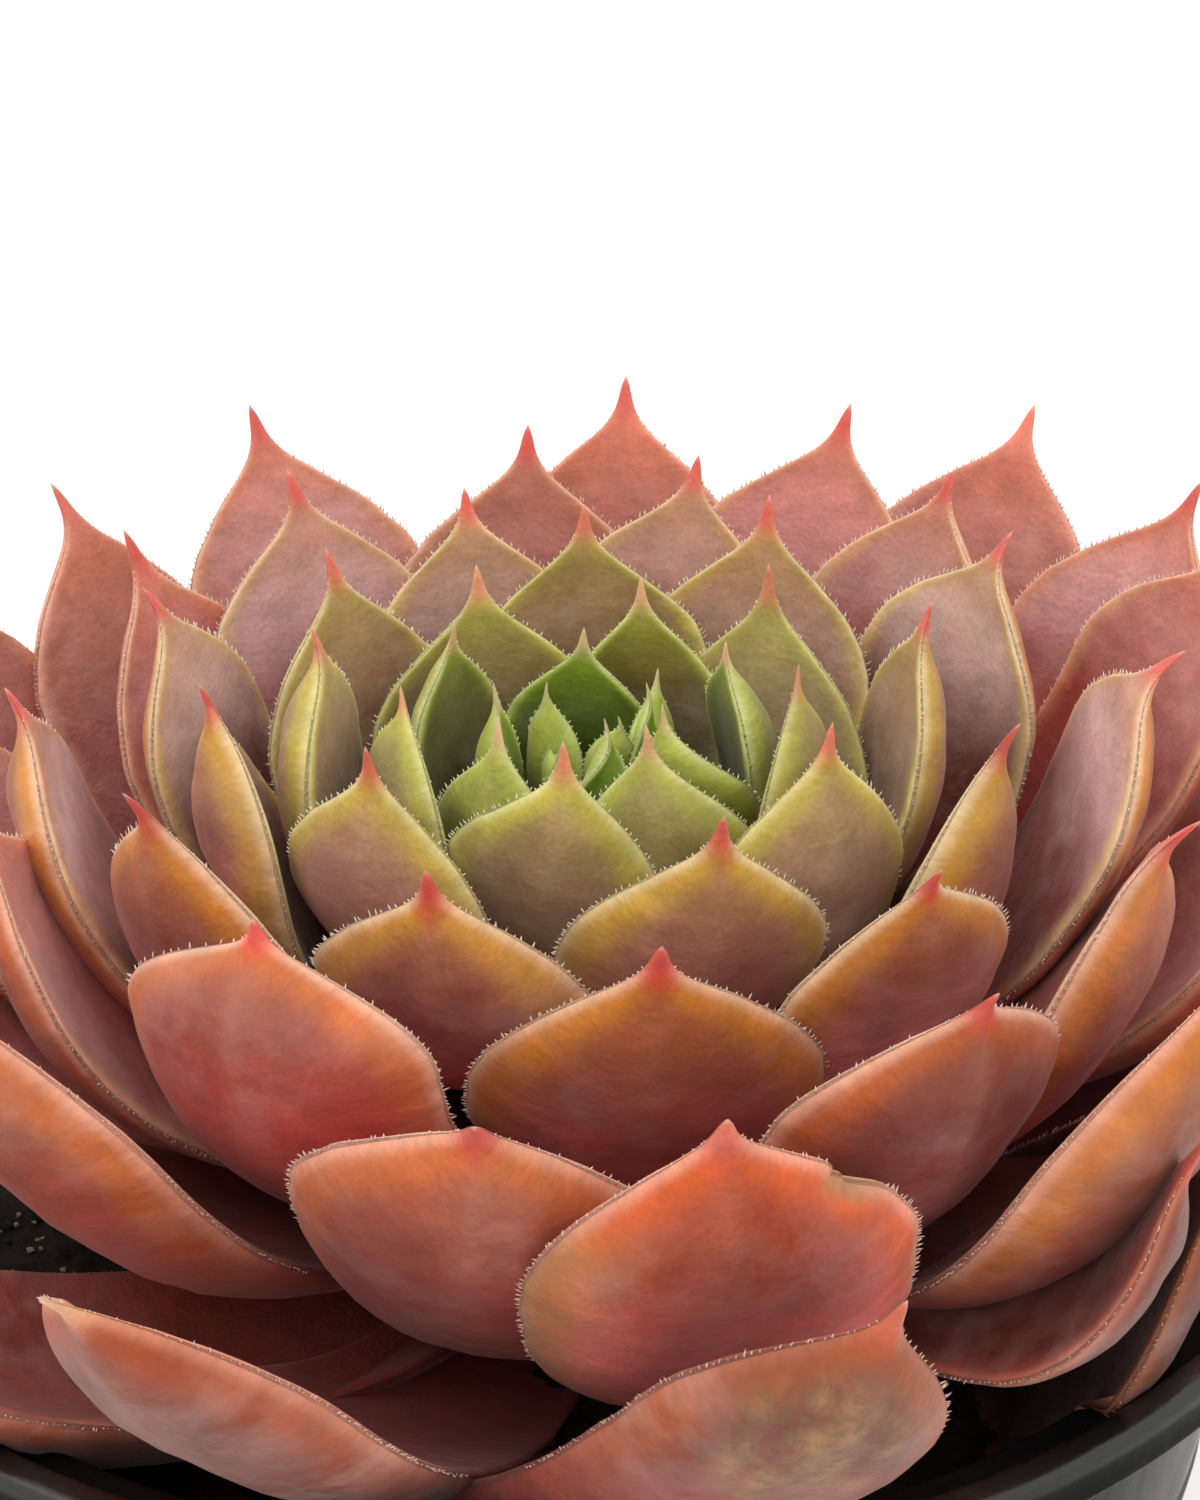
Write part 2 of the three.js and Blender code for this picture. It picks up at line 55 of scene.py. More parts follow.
# Leaves in growth order, mm and degrees from the heart:
# index, azimuth, tip x, tip y, tip z, rise at base, rise at tip, width, cupping, roll, twist, tip length factor, tip recurve, thickness
LEAVES = [
    [0,280.7,-3.61,-0.73,2.00,91.3,96.0,1.90,0.300,0.0,0.0,1.900,0.50,1.60],
    [1,156.8,-0.70,-3.71,2.00,89.4,96.0,1.90,0.300,0.0,0.0,1.900,0.51,1.63],
    [2,7.9,1.28,1.04,3.40,86.8,96.0,3.60,0.300,0.0,0.0,1.700,0.52,1.66],
    [3,228.1,-2.58,-3.90,4.00,84.3,96.0,4.60,0.300,0.0,0.0,1.900,0.54,1.70],
    [4,90.6,3.30,3.83,4.70,82.0,96.0,4.40,0.300,0.0,0.0,1.900,0.55,1.73],
    [5,311.7,-3.78,3.00,5.20,79.6,96.0,5.20,0.300,0.0,0.0,1.900,0.56,1.76],
    [6,175.6,0.28,-2.36,5.00,77.4,96.0,4.60,0.300,0.0,0.0,1.800,0.57,1.79],
    [7,42.9,4.15,3.63,6.00,75.3,96.0,6.40,0.300,0.0,0.0,1.800,0.58,1.82],
    [8,263.4,-7.51,-0.44,6.85,73.3,96.0,7.80,0.300,0.0,0.0,1.500,0.60,1.86],
    [9,125.8,4.28,-4.32,7.19,61.1,90.1,11.23,0.280,-2.2,0.2,1.005,0.24,1.89],
    [10,347.4,-1.16,7.08,7.51,65.4,101.7,12.41,0.170,1.1,-2.1,0.917,0.60,1.92],
    [11,219.0,-6.87,-9.07,8.63,56.5,107.1,14.05,0.145,0.1,10.6,1.099,0.64,1.95],
    [12,80.5,8.88,1.83,8.94,28.7,96.4,11.07,0.131,5.5,-8.2,0.985,0.34,2.35],
    [13,293.0,-10.34,4.65,9.00,57.4,109.0,12.10,0.120,3.1,0.9,1.024,0.41,2.02],
    [14,148.4,3.09,-9.88,8.45,52.9,96.1,13.89,0.252,3.5,3.0,1.091,0.53,2.05],
    [15,18.8,3.01,12.19,9.20,56.9,95.1,13.60,0.224,-3.1,0.5,1.015,0.80,2.08],
    [16,245.4,-13.56,-6.98,9.92,43.8,102.4,13.14,0.020,4.9,-1.4,1.005,0.83,2.11],
    [17,103.2,13.67,-3.92,9.99,45.7,100.6,13.78,0.087,1.9,-0.6,1.015,0.67,2.14],
    [18,320.9,-9.10,12.51,10.02,44.3,96.4,18.80,0.161,14.4,-9.4,0.869,0.92,2.18],
    [19,202.4,-2.40,-17.00,10.92,51.2,94.7,16.21,0.225,16.8,5.5,1.077,0.34,2.21],
    [20,53.2,12.30,10.78,10.89,35.1,98.4,18.94,0.183,-17.6,6.2,1.064,0.56,2.24],
    [21,267.9,-19.99,-1.32,11.63,8.8,95.6,15.85,0.020,10.6,6.7,0.902,1.15,3.44],
    [22,134.6,15.25,-14.50,11.01,26.4,89.9,16.68,0.092,21.4,-4.5,1.051,0.63,2.30],
    [23,361.4,-1.22,23.24,10.24,47.0,98.1,18.51,0.244,2.9,4.6,0.867,1.17,2.34],
    [24,228.4,-15.08,-18.74,11.47,29.3,94.0,16.86,0.078,-2.4,2.0,1.020,0.89,2.37],
    [25,86.0,23.33,1.95,12.00,18.0,90.0,17.60,0.100,2.0,-8.0,0.950,1.00,3.00],
    [26,300.1,-20.28,14.05,10.70,22.4,85.3,18.45,0.067,10.8,-10.0,0.963,1.05,2.43],
    [27,164.7,7.70,-26.41,10.62,34.4,84.2,18.16,0.253,9.7,0.1,0.999,0.72,2.46],
    [28,31.9,13.08,24.90,10.27,32.3,90.0,20.24,0.214,-8.7,2.4,0.898,1.06,2.50],
    [29,257.0,-26.93,-9.17,11.17,10.9,88.5,17.66,0.145,14.9,-14.2,0.942,1.23,3.24],
    [30,113.8,27.59,-14.36,10.86,7.6,85.0,18.53,0.179,-7.5,2.2,1.009,1.65,3.77],
    [31,336.9,-10.59,27.80,9.62,28.0,83.0,18.81,0.195,3.7,0.7,0.874,0.91,2.59],
    [32,204.7,-10.60,-32.06,10.04,23.2,80.1,19.27,0.214,-2.1,0.4,0.976,0.86,2.62],
    [33,60.5,30.43,14.39,11.83,6.6,87.4,20.69,0.138,-15.2,14.8,0.740,1.68,2.66],
    [34,280.3,-32.75,6.41,11.00,-0.6,80.9,19.19,0.020,2.3,2.8,0.837,1.61,2.69],
    [35,138.3,20.69,-32.66,10.39,4.7,73.6,18.41,0.088,0.8,-10.1,0.874,1.16,2.72],
    [36,5.9,7.91,34.86,9.46,20.9,77.7,20.15,0.224,-0.6,-1.3,0.881,0.85,2.75],
    [37,234.2,-30.04,-23.72,10.78,5.0,80.9,20.21,0.067,-7.2,1.9,0.963,1.87,3.42],
    [38,97.5,39.61,-6.76,12.45,-10.9,77.7,21.69,0.023,-2.1,-14.8,0.730,2.43,2.99],
    [39,313.6,-24.66,31.00,9.79,16.2,80.3,21.58,0.129,2.3,-8.4,0.858,1.60,2.85],
    [40,174.1,3.60,-40.79,10.03,7.5,71.4,23.15,0.187,1.4,-2.4,0.974,1.04,2.88],
    [41,39.5,27.94,30.80,9.96,12.7,82.5,20.80,0.187,6.2,0.2,0.854,0.94,2.91],
    [42,258.6,-40.47,-6.78,9.67,-2.9,86.8,21.36,0.020,-3.7,6.0,0.775,1.34,3.49],
    [43,123.2,37.41,-26.92,10.63,-5.0,81.0,21.68,0.083,-14.4,6.8,0.957,2.59,3.83],
    [44,345.7,-5.92,42.36,9.02,12.8,80.1,22.59,0.215,3.1,1.2,0.840,1.09,3.01],
    [45,210.2,-20.51,-37.26,9.73,8.9,100.7,22.03,0.144,-4.0,2.1,0.519,0.92,3.91],
    [46,76.0,46.34,10.70,13.11,3.6,81.2,21.68,0.229,1.7,-9.3,0.790,1.05,3.07],
    [47,298.6,-36.28,21.16,8.99,9.3,78.3,22.49,0.220,0.0,0.0,1.000,1.06,3.10],
    [48,157.9,22.74,-45.12,9.57,-5.7,73.2,20.97,0.186,2.9,-1.6,0.746,1.13,3.12],
    [49,18.0,20.90,46.33,9.29,10.5,72.6,22.76,0.245,-3.2,-1.1,0.908,1.15,3.17],
    [50,243.3,-41.71,-18.48,7.96,7.7,83.4,22.50,0.150,14.2,2.5,0.987,1.15,3.20],
    [51,100.7,51.00,-9.70,6.40,7.2,76.2,22.60,0.220,0.0,0.0,1.000,1.11,3.23],
    [52,328.9,-29.27,46.62,9.09,7.6,75.4,22.59,0.217,1.4,-0.5,0.952,1.30,3.26],
    [53,196.3,-6.88,-54.43,6.79,-15.0,62.4,24.20,0.108,6.3,2.3,0.849,1.56,4.31],
    [54,53.7,47.72,31.64,8.58,5.1,76.4,21.95,0.223,-0.5,-2.0,0.906,1.02,3.33],
    [55,276.6,-56.62,6.60,3.20,-2.0,66.0,22.60,0.220,4.0,0.0,1.000,1.16,3.36],
    [56,138.8,37.01,-43.48,11.15,-5.3,82.7,22.15,0.160,-7.6,2.2,0.979,1.17,3.49],
    [57,0.7,2.25,57.12,7.62,5.3,72.3,22.47,0.225,-1.2,-1.3,0.951,1.20,3.42],
    [58,222.9,-41.33,-41.65,9.57,-4.0,71.9,22.42,0.219,0.9,-3.3,0.980,1.14,3.54],
    [59,86.5,57.49,3.55,5.93,3.9,72.9,22.60,0.220,0.0,0.0,1.000,1.21,3.49],
    [60,305.6,-44.52,36.65,6.28,-0.6,79.9,22.59,0.099,-5.3,-10.1,0.956,2.02,3.52],
    [61,165.6,6.84,-57.17,9.30,-11.1,71.7,24.10,0.020,-3.6,-8.6,0.882,1.25,4.20],
    [62,33.3,37.31,53.42,6.40,3.9,71.3,22.52,0.234,-3.8,-2.4,0.956,1.21,3.52],
    [63,250.4,-56.27,-20.09,3.51,2.6,71.6,22.60,0.220,0.0,0.0,1.000,1.26,3.52],
    [64,112.8,54.11,-22.77,3.87,2.3,71.3,22.60,0.220,0.0,0.0,1.000,1.27,3.52],
    [65,341.3,-19.30,56.00,-6.00,-6.0,58.0,22.60,0.220,0.0,0.0,1.000,1.28,3.52],
    [66,194.0,-29.16,-65.52,3.75,-15.0,60.0,19.80,0.193,6.4,-13.6,1.069,1.26,3.22],
    [67,66.2,55.77,24.56,3.18,1.2,70.2,22.60,0.220,0.0,0.0,1.000,1.30,3.52],
    [68,288.7,-54.50,18.00,8.60,10.0,80.0,22.60,0.220,-4.0,0.0,1.000,1.32,3.52],
    [69,146.7,35.73,-45.35,0.12,26.2,89.8,20.69,0.020,-5.6,-34.0,1.010,1.83,3.08],
    [71,206.5,-56.14,-43.08,-7.51,4.8,72.3,24.20,0.280,-6.2,-6.5,0.981,1.17,3.90],
    [74,203.4,16.31,-62.93,1.72,-15.0,67.2,18.60,0.020,11.3,34.0,0.920,0.11,3.80],
    [77,129.1,40.08,-39.54,-5.44,-3.6,70.8,22.71,0.218,-49.3,-1.6,0.984,1.48,3.67],
]

# ------------------------------------------------------------------ helpers
def srgb(r, g, b):
    c = np.array([r, g, b], float) / 255.0
    return np.where(c <= 0.04045, c / 12.92, ((c + 0.055) / 1.055) ** 2.4)


def smooth(x, a, b):
    t = np.clip((np.asarray(x, float) - a) / (b - a), 0.0, 1.0)
    return t * t * (3 - 2 * t)


def mixc(a, b, t):
    t = np.asarray(t)[..., None]
    return a * (1 - t) + b * t


def ramp(x, stops):
    """Colour ramp over one number: stops are (position, linear colour)."""
    xs = [s[0] for s in stops]
    return np.array([np.interp(x, xs, [s[1][k] for s in stops]) for k in range(3)])


def wave_noise(p, seed, scale, octaves=3):
    """Smooth repeatable noise from sums of sines, about -1..1. p is (..., 2 or 3) in mm."""
    r = np.random.RandomState(seed)
    out = 0.0
    amp, tot = 1.0, 0.0
    for o in range(octaves):
        f = 2 * math.pi / (scale * 0.55**o)
        for _ in range(5):
            d = r.normal(size=p.shape[-1])
            d /= np.linalg.norm(d)
            out = out + amp * np.sin(f * r.uniform(0.7, 1.3) * (p @ d) + r.uniform(0, 6.283)) / 5**0.5
        tot += amp
        amp *= 0.5
    return out / tot


def new_object(name, verts_mm, faces, smooth_shading=True):
    me = bpy.data.meshes.new(name)
    v = np.ascontiguousarray(np.asarray(verts_mm, float) * 0.001)
    me.vertices.add(len(v))
    me.vertices.foreach_set("co", v.ravel())
    sizes = np.array([len(f) for f in faces]) if not isinstance(faces, np.ndarray) else np.full(len(faces), faces.shape[1])
    flat = np.concatenate([np.asarray(f) for f in faces]) if not isinstance(faces, np.ndarray) else faces.ravel()
    me.loops.add(len(flat))
    me.loops.foreach_set("vertex_index", flat.astype(np.int32))
    me.polygons.add(len(sizes))
    starts = np.concatenate([[0], np.cumsum(sizes)[:-1]])
    me.polygons.foreach_set("loop_start", starts.astype(np.int32))
    me.update(calc_edges=True)
    me.validate()
    if smooth_shading:
        me.polygons.foreach_set("use_smooth", np.ones(len(me.polygons), bool))
    ob = bpy.data.objects.new(name, me)
    bpy.context.scene.collection.objects.link(ob)
    return ob


def put_attr(ob, name, kind, data):
    a = ob.data.attributes.new(name, kind, "POINT")
    d = np.ascontiguousarray(np.asarray(data, np.float32))
    if kind == "FLOAT_COLOR":
        if d.shape[1] == 3:
            d = np.concatenate([d, np.ones((len(d), 1), np.float32)], 1)
        a.data.foreach_set("color", np.ascontiguousarray(d).ravel())
    elif kind == "FLOAT_VECTOR":
        a.data.foreach_set("vector", d.ravel())
    else:
        a.data.foreach_set("value", d.ravel())


# ------------------------------------------------------------------ leaf shape
TIP_D = np.array([0, 0.08, 0.16, 0.26, 0.36, 0.48, 0.62, 0.80, 1.0, 1.25, 1.5, 1.8, 2.2])
TIP_W = np.array([0, 0.030, 0.047, 0.068, 0.115, 0.215, 0.375, 0.56, 0.73, 0.88, 0.965, 1.0, 1.0])


def smooth_profile(xs, ys, sigma, n=600):
    """The profile rounded a little, so that the outline has no corners."""
    x = np.linspace(xs[0], xs[-1], n)
    y = np.interp(x, xs, ys)
    h = x[1] - x[0]
    k = np.arange(-60, 61) * h
    w = np.exp(-0.5 * (k / sigma) ** 2)
    w /= w.sum()
    yp = np.concatenate([-y[60:0:-1] * 0 + (2 * y[0] - y[60:0:-1]), y, np.full(60, y[-1])])
    ys2 = np.convolve(yp, w, "valid")
    keep = smooth(x, 0.10, 0.30)
    return x, y * (1 - keep) + ys2 * keep


PRO_X, PRO_Y = smooth_profile(TIP_D, TIP_W, 0.055)


def direction(az, el):
    a, e = math.radians(az), math.radians(el)
    return np.array([math.sin(a) * math.cos(e), math.cos(a) * math.cos(e), math.sin(e)])


def leaf_frame(row, s):
    """Midrib points, side and face directions, half width and thickness at stations s (0 base, 1 tip)."""
    n, az, tx, ty, tz, eb, et, W0, cup, roll, twist, tp, rc, th0 = row
    t = n / 70.0
    rb = 3 + 12 * t**0.7
    zb = -7 - 25 * t**0.85
    B = np.array([rb * math.sin(math.radians(az)), rb * math.cos(math.radians(az)), zb])
    T = np.array([tx, ty, tz])
    dv = T - B
    ch = np.linalg.norm(dv)
    azd = math.degrees(math.atan2(dv[0], dv[1]))
    azd = az + ((azd - az + 180) % 360) - 180
    azt = azd + (azd - az) * 0.6
    P1 = B + direction(az, eb) * ch * 0.42
    P2 = T - direction(azt, et) * ch * 0.40
    tt = np.linspace(0, 1, 401)[:, None]
    C = (1 - tt) ** 3 * B + 3 * (1 - tt) ** 2 * tt * P1 + 3 * (1 - tt) * tt**2 * P2 + tt**3 * T
    sg = np.linalg.norm(np.diff(C, axis=0), axis=1)
    arc = np.concatenate([[0], np.cumsum(sg)])
    L = arc[-1]
    W = W0 / 2
    at = lambda x: np.stack([np.interp(np.clip(x, 0, 1) * L, arc, C[:, i]) for i in range(3)], 1)
    q = at(s)
    a, b = at(s - 0.012), at(s + 0.012)
    tg = b - a
    tg /= np.linalg.norm(tg, axis=1)[:, None]
    azs = np.radians(az + (azt - az) * s)
    lat = np.stack([np.cos(azs), -np.sin(azs), 0 * azs], 1)
    lat -= (lat * tg).sum(1)[:, None] * tg
    lat /= np.linalg.norm(lat, axis=1)[:, None]
    nr = np.cross(lat, tg)
    nr /= np.linalg.norm(nr, axis=1)[:, None]
    rl = np.radians(roll + twist * (s - 0.5) * 2)[:, None]
    lt = lat * np.cos(rl) + nr * np.sin(rl)
    nn = nr * np.cos(rl) - lat * np.sin(rl)
    sm = 1 - 2.0 * W / L
    d = (1 - s) * L / (W * tp)
    wt = np.interp(d, PRO_X, PRO_Y)
    bw = 0.5 if n > BUD_LAST else 0.62
    wb = np.where(s < sm, 1 - (1 - bw) * (np.clip(sm - s, 0, 9) / max(sm, 0.05)) ** 1.35, 1.0)
    soft = 0.02
    w = W * (-soft * np.log(np.exp(-np.clip(wt, 0, 3) / soft) + np.exp(-wb / soft)))
    w = np.maximum(np.where(wt < 0.6, W * wt, w), 0.0)
    s0 = 1 - 0.62 * W * tp / L
    f = np.clip((s - s0) / (1 - s0), 0, 1) ** 2
    q = q + nn * (rc * (1 - f))[:, None]
    thin = 0.55 + 0.45 * np.minimum(1, s / 0.45) if n > BUD_LAST else np.ones_like(s)
    th = th0 * np.minimum(1, (w / W) ** 0.8) * thin
    return dict(q=q, tg=tg, lt=lt, nn=nn, w=w, th=th, L=L, W=W, tp=tp, cup=cup, d=d)


KA = 25  # points across each face
BITTEN, SCARRED = 61, 74


def leaf_body(row, stations):
    """The leaf's skin as rings of points, with for each point: mm from the tip, signed share of the width, mm from the margin, face (0 upper, 1 under)."""
    n = int(row[0])
    s0 = stations
    F = leaf_frame(row, s0)
    w, th, L = F["w"], F["th"], F["L"]
    # across: cosine spacing, dense towards the margins; the last steps run round the margin itself
    ang = np.linspace(0, math.pi, KA)
    xs = np.cos(ang)
    xs = np.sign(xs) * (1 - (1 - np.abs(xs)) ** 1.12)
    up, dn = xs, xs[::-1][1:-1]
    x = np.concatenate([up, dn])
    face = np.concatenate([np.zeros(KA), np.ones(KA - 2)])
    face[0] = face[KA - 1] = 0.5
    K = len(x)
    X = np.broadcast_to(x, (len(s0), K))
    Wd = w[:, None]
    Th = th[:, None]
    # margin: a rounded edge about 0.9 mm thick on a big leaf
    e = np.minimum(0.42 * (Th / 3.2) ** 0.5, 0.46 * Wd + 0.02)
    mr = np.clip(0.62 / np.maximum(Wd, 0.05), 0.0, 1.0)  # share of the half width taken by the rounding
    u = np.clip((np.abs(X) - (1 - mr)) / np.maximum(mr, 1e-6), 0, 1)
    edge = np.sqrt(np.clip(1 - u**2, 0, 1))
    mid = F["cup"] * Wd * X**2
    mmtip = (1 - s0)[:, None] * L + 0 * X
    # keel on the underside, fading away from the tip
    kf = smooth(mmtip, 0.0, 2.0) * (1 - smooth(mmtip, 7.0, 19.0))
    keel = 0.34 * kf * np.exp(-((X * Wd) / 1.1) ** 2) * np.minimum(1, Th / 2.2)
    upper = 0.10 * Th * (1 - X**2) + e * edge
    lower = -(Th - e) * (1 - np.abs(X) ** 3) - e * edge - keel
    H = mid + np.where(face[None] < 0.5, upper, np.where(face[None] > 0.5, lower, 0.0))
    # uneven flesh: broad swellings and a slightly wavy margin
    P2 = np.stack([X * Wd + 17.3 * n, mmtip], -1)
    body = 1 - smooth(1 - s0, 0.0, 0.12)[:, None] * 0
    H = H + 0.13 * wave_noise(P2, 40 + n, 9.0, 3) * np.minimum(1, Wd / 4.0) * (1 - np.abs(X) ** 8)
    wav = 0.10 * wave_noise(np.stack([np.sign(X) * 40 + 9.1 * n, mmtip], -1), 90 + n, 4.4, 2) * smooth(Wd, 1.0, 5.0)
    side = X * Wd + np.sign(X) * wav * smooth(np.abs(X), 0.6, 1.0)
    if n == BITTEN:
        g = np.exp(-(((mmtip - 9.8) / 1.3) ** 4)) * (X < 0)
        rag = 1 + 0.30 * np.sin(mmtip * 5.2) + 0.16 * np.sin(mmtip * 8.3 + 1.0)
        side = side + 1.05 * g * rag * smooth(np.abs(X), 0.72, 1.0)
    pts = F["q"][:, None] + F["lt"][:, None] * side[..., None] + F["nn"][:, None] * H[..., None]
    em = (1 - np.abs(X)) * Wd
    return dict(pts=pts, X=X, mmtip=mmtip, em=em, face=np.broadcast_to(face, X.shape), F=F, K=K)


def stations_for(row, fine=1.0):
    n = row[0]
    F = leaf_frame(row, np.array([0.0, 1.0]))
    L, W, tp = F["L"], F["W"], F["tp"]
    big = min(2.3 * W * tp / L, 0.93)
    na, nb, nc = int(20 * fine), int(30 * fine), int(16 * fine)
    s1 = 1 - big
    s2 = 1 - min(0.62 * W * tp / L, big * 0.6)
    a = np.linspace(0.0, s1, na, endpoint=False)
    b = np.linspace(s1, s2, nb, endpoint=False)
    c = 1 - (1 - s2) * (1 - np.linspace(0, 1, nc)) ** 1.15
    s = np.concatenate([a, b, c])
    s[-1] = 1 - 0.002
    return s


# ------------------------------------------------------------------ leaf colour
# Every ramp runs over the leaf's place in growth order: 0 is the youngest, in the heart.
# The upper-face stops at 69 and 70 are partly painted shade: leaf 69 lies low under the leaves above it, and its upper
# face is painted near-black maroon, its own dark maroon darkened for that shade.
UP_MID = [(0, srgb(120, 156, 24)), (8, srgb(108, 138, 28)), (11, srgb(98, 112, 34)), (13, srgb(102, 98, 42)), (16, srgb(116, 96, 48)), (20, srgb(184, 156, 118)), (23, srgb(142, 104, 66)), (26, srgb(176, 140, 112)), (28, srgb(180, 142, 122)), (31, srgb(180, 144, 134)), (34, srgb(210, 172, 164)), (36, srgb(170, 120, 104)), (38, srgb(210, 168, 170)), (39, srgb(196, 148, 138)), (41, srgb(188, 140, 134)), (42, srgb(220, 178, 180)), (44, srgb(176, 112, 98)), (47, srgb(204, 136, 132)), (50, srgb(204, 144, 138)), (54, srgb(222, 166, 162)), (57, srgb(180, 108, 92)), (60, srgb(192, 118, 94)), (62, srgb(190, 122, 110)), (64, srgb(240, 196, 200)), (66, srgb(196, 120, 116)), (68, srgb(190, 118, 106)), (69, srgb(84, 18, 16)), (70, srgb(84, 18, 16)), (71, srgb(186, 106, 98)), (74, srgb(120, 60, 54)), (77, srgb(72, 24, 16))]
UP_LOW = [(0, srgb(70, 100, 22)), (8, srgb(66, 80, 24)), (14, srgb(74, 60, 34)), (20, srgb(96, 74, 48)), (23, srgb(78, 52, 30)), (28, srgb(98, 54, 36)), (31, srgb(74, 32, 18)), (36, srgb(118, 54, 46)), (38, srgb(120, 44, 42)), (44, srgb(142, 62, 52)), (47, srgb(148, 58, 50)), (57, srgb(150, 68, 58)), (64, srgb(160, 90, 84)), (66, srgb(140, 76, 72)), (68, srgb(140, 66, 58)), (69, srgb(58, 12, 10)), (71, srgb(146, 70, 62)), (77, srgb(44, 14, 10))]
UP_BAND = [(0, srgb(146, 180, 40)), (10, srgb(154, 176, 44)), (15, srgb(160, 166, 54)), (20, srgb(210, 194, 108)), (23, srgb(182, 164, 64)), (28, srgb(196, 172, 82)), (31, srgb(204, 174, 98)), (38, srgb(206, 170, 120)), (44, srgb(204, 150, 104)), (52, srgb(212, 150, 116)), (57, srgb(210, 126, 92)), (64, srgb(222, 168, 150)), (66, srgb(186, 120, 100)), (68, srgb(206, 140, 110)), (69, srgb(120, 48, 42)), (71, srgb(150, 90, 80)), (77, srgb(90, 36, 24))]
UP_TIP = [(0, srgb(128, 166, 34)), (10, srgb(138, 158, 42)), (15, srgb(146, 148, 50)), (20, srgb(184, 172, 90)), (23, srgb(160, 132, 64)), (28, srgb(178, 136, 80)), (36, srgb(182, 130, 96)), (44, srgb(184, 108, 84)), (57, srgb(212, 116, 88)), (66, srgb(200, 116, 86)), (68, srgb(206, 116, 88)), (69, srgb(120, 44, 36)), (71, srgb(160, 90, 74)), (77, srgb(90, 34, 20))]
UN_MID = [(0, srgb(164, 180, 44)), (5, srgb(162, 178, 54)), (9, srgb(158, 166, 74)), (14, srgb(152, 144, 88)), (19, srgb(150, 124, 92)), (22, srgb(166, 134, 108)), (24, srgb(170, 124, 110)), (27, srgb(150, 104, 88)), (32, srgb(148, 86, 78)), (35, srgb(130, 66, 54)), (40, srgb(142, 72, 56)), (43, srgb(150, 84, 58)), (45, srgb(144, 66, 58)), (48, srgb(112, 44, 34)), (53, srgb(156, 78, 66)), (56, srgb(136, 74, 44)), (58, srgb(132, 56, 36)), (61, srgb(154, 60, 38)), (66, srgb(114, 46, 30)), (69, srgb(96, 38, 28)), (71, srgb(88, 34, 20)), (74, srgb(92, 34, 26)), (77, srgb(72, 24, 8))]
# The underside low colours are partly the leaves' own pink and red low down and partly painted light: they are lifted
# far above the middle colours to brighten the shaded lower undersides.
UN_LOW = [(0, srgb(110, 136, 44)), (9, srgb(140, 146, 78)), (14, srgb(160, 136, 104)), (19, srgb(186, 150, 130)), (22, srgb(234, 198, 178)), (24, srgb(222, 168, 154)), (27, srgb(230, 154, 138)), (32, srgb(238, 140, 138)), (35, srgb(244, 164, 166)), (40, srgb(234, 116, 120)), (45, srgb(180, 64, 52)), (48, srgb(150, 60, 50)), (53, srgb(148, 52, 46)), (58, srgb(172, 72, 62)), (61, srgb(255, 126, 122)), (66, srgb(110, 46, 34)), (71, srgb(88, 32, 20)), (74, srgb(136, 60, 50)), (77, srgb(80, 30, 16))]
UN_BAND = [(0, srgb(166, 190, 54)), (9, srgb(178, 190, 76)), (14, srgb(180, 182, 76)), (19, srgb(182, 172, 66)), (22, srgb(190, 170, 72)), (27, srgb(192, 156, 56)), (32, srgb(196, 142, 52)), (35, srgb(188, 118, 36)), (40, srgb(196, 122, 36)), (43, srgb(206, 132, 50)), (45, srgb(190, 92, 46)), (48, srgb(172, 82, 22)), (53, srgb(200, 104, 56)), (56, srgb(196, 116, 36)), (58, srgb(194, 92, 26)), (61, srgb(206, 84, 18)), (66, srgb(164, 66, 18)), (69, srgb(124, 48, 20)), (71, srgb(124, 50, 14)), (74, srgb(150, 70, 22)), (77, srgb(104, 38, 8))]
UN_TIP = [(0, srgb(160, 180, 80)), (10, srgb(196, 170, 92)), (16, srgb(206, 150, 84)), (22, srgb(204, 128, 76)), (27, srgb(204, 96, 70)), (33, srgb(204, 72, 56)), (45, srgb(206, 62, 50)), (61, srgb(214, 78, 52)), (66, srgb(206, 124, 84)), (69, srgb(190, 76, 48)), (77, srgb(190, 90, 44))]
SPINE = [(0, srgb(206, 214, 150)), (8, srgb(214, 196, 150)), (13, srgb(216, 170, 130)), (19, srgb(220, 132, 104)), (24, srgb(212, 96, 84)), (30, srgb(206, 78, 72)), (45, srgb(206, 74, 68)), (57, srgb(196, 80, 74)), (61, srgb(220, 110, 92)), (66, srgb(216, 164, 124)), (69, srgb(200, 90, 76)), (77, srgb(176, 96, 60))]
RIM = [(0, srgb(196, 212, 130)), (12, srgb(206, 212, 140)), (22, srgb(216, 206, 140)), (30, srgb(222, 200, 158)), (40, srgb(226, 184, 152)), (52, srgb(226, 168, 142)), (61, srgb(226, 160, 134)), (66, srgb(206, 132, 104)), (70, srgb(176, 100, 76)), (77, srgb(146, 78, 44))]


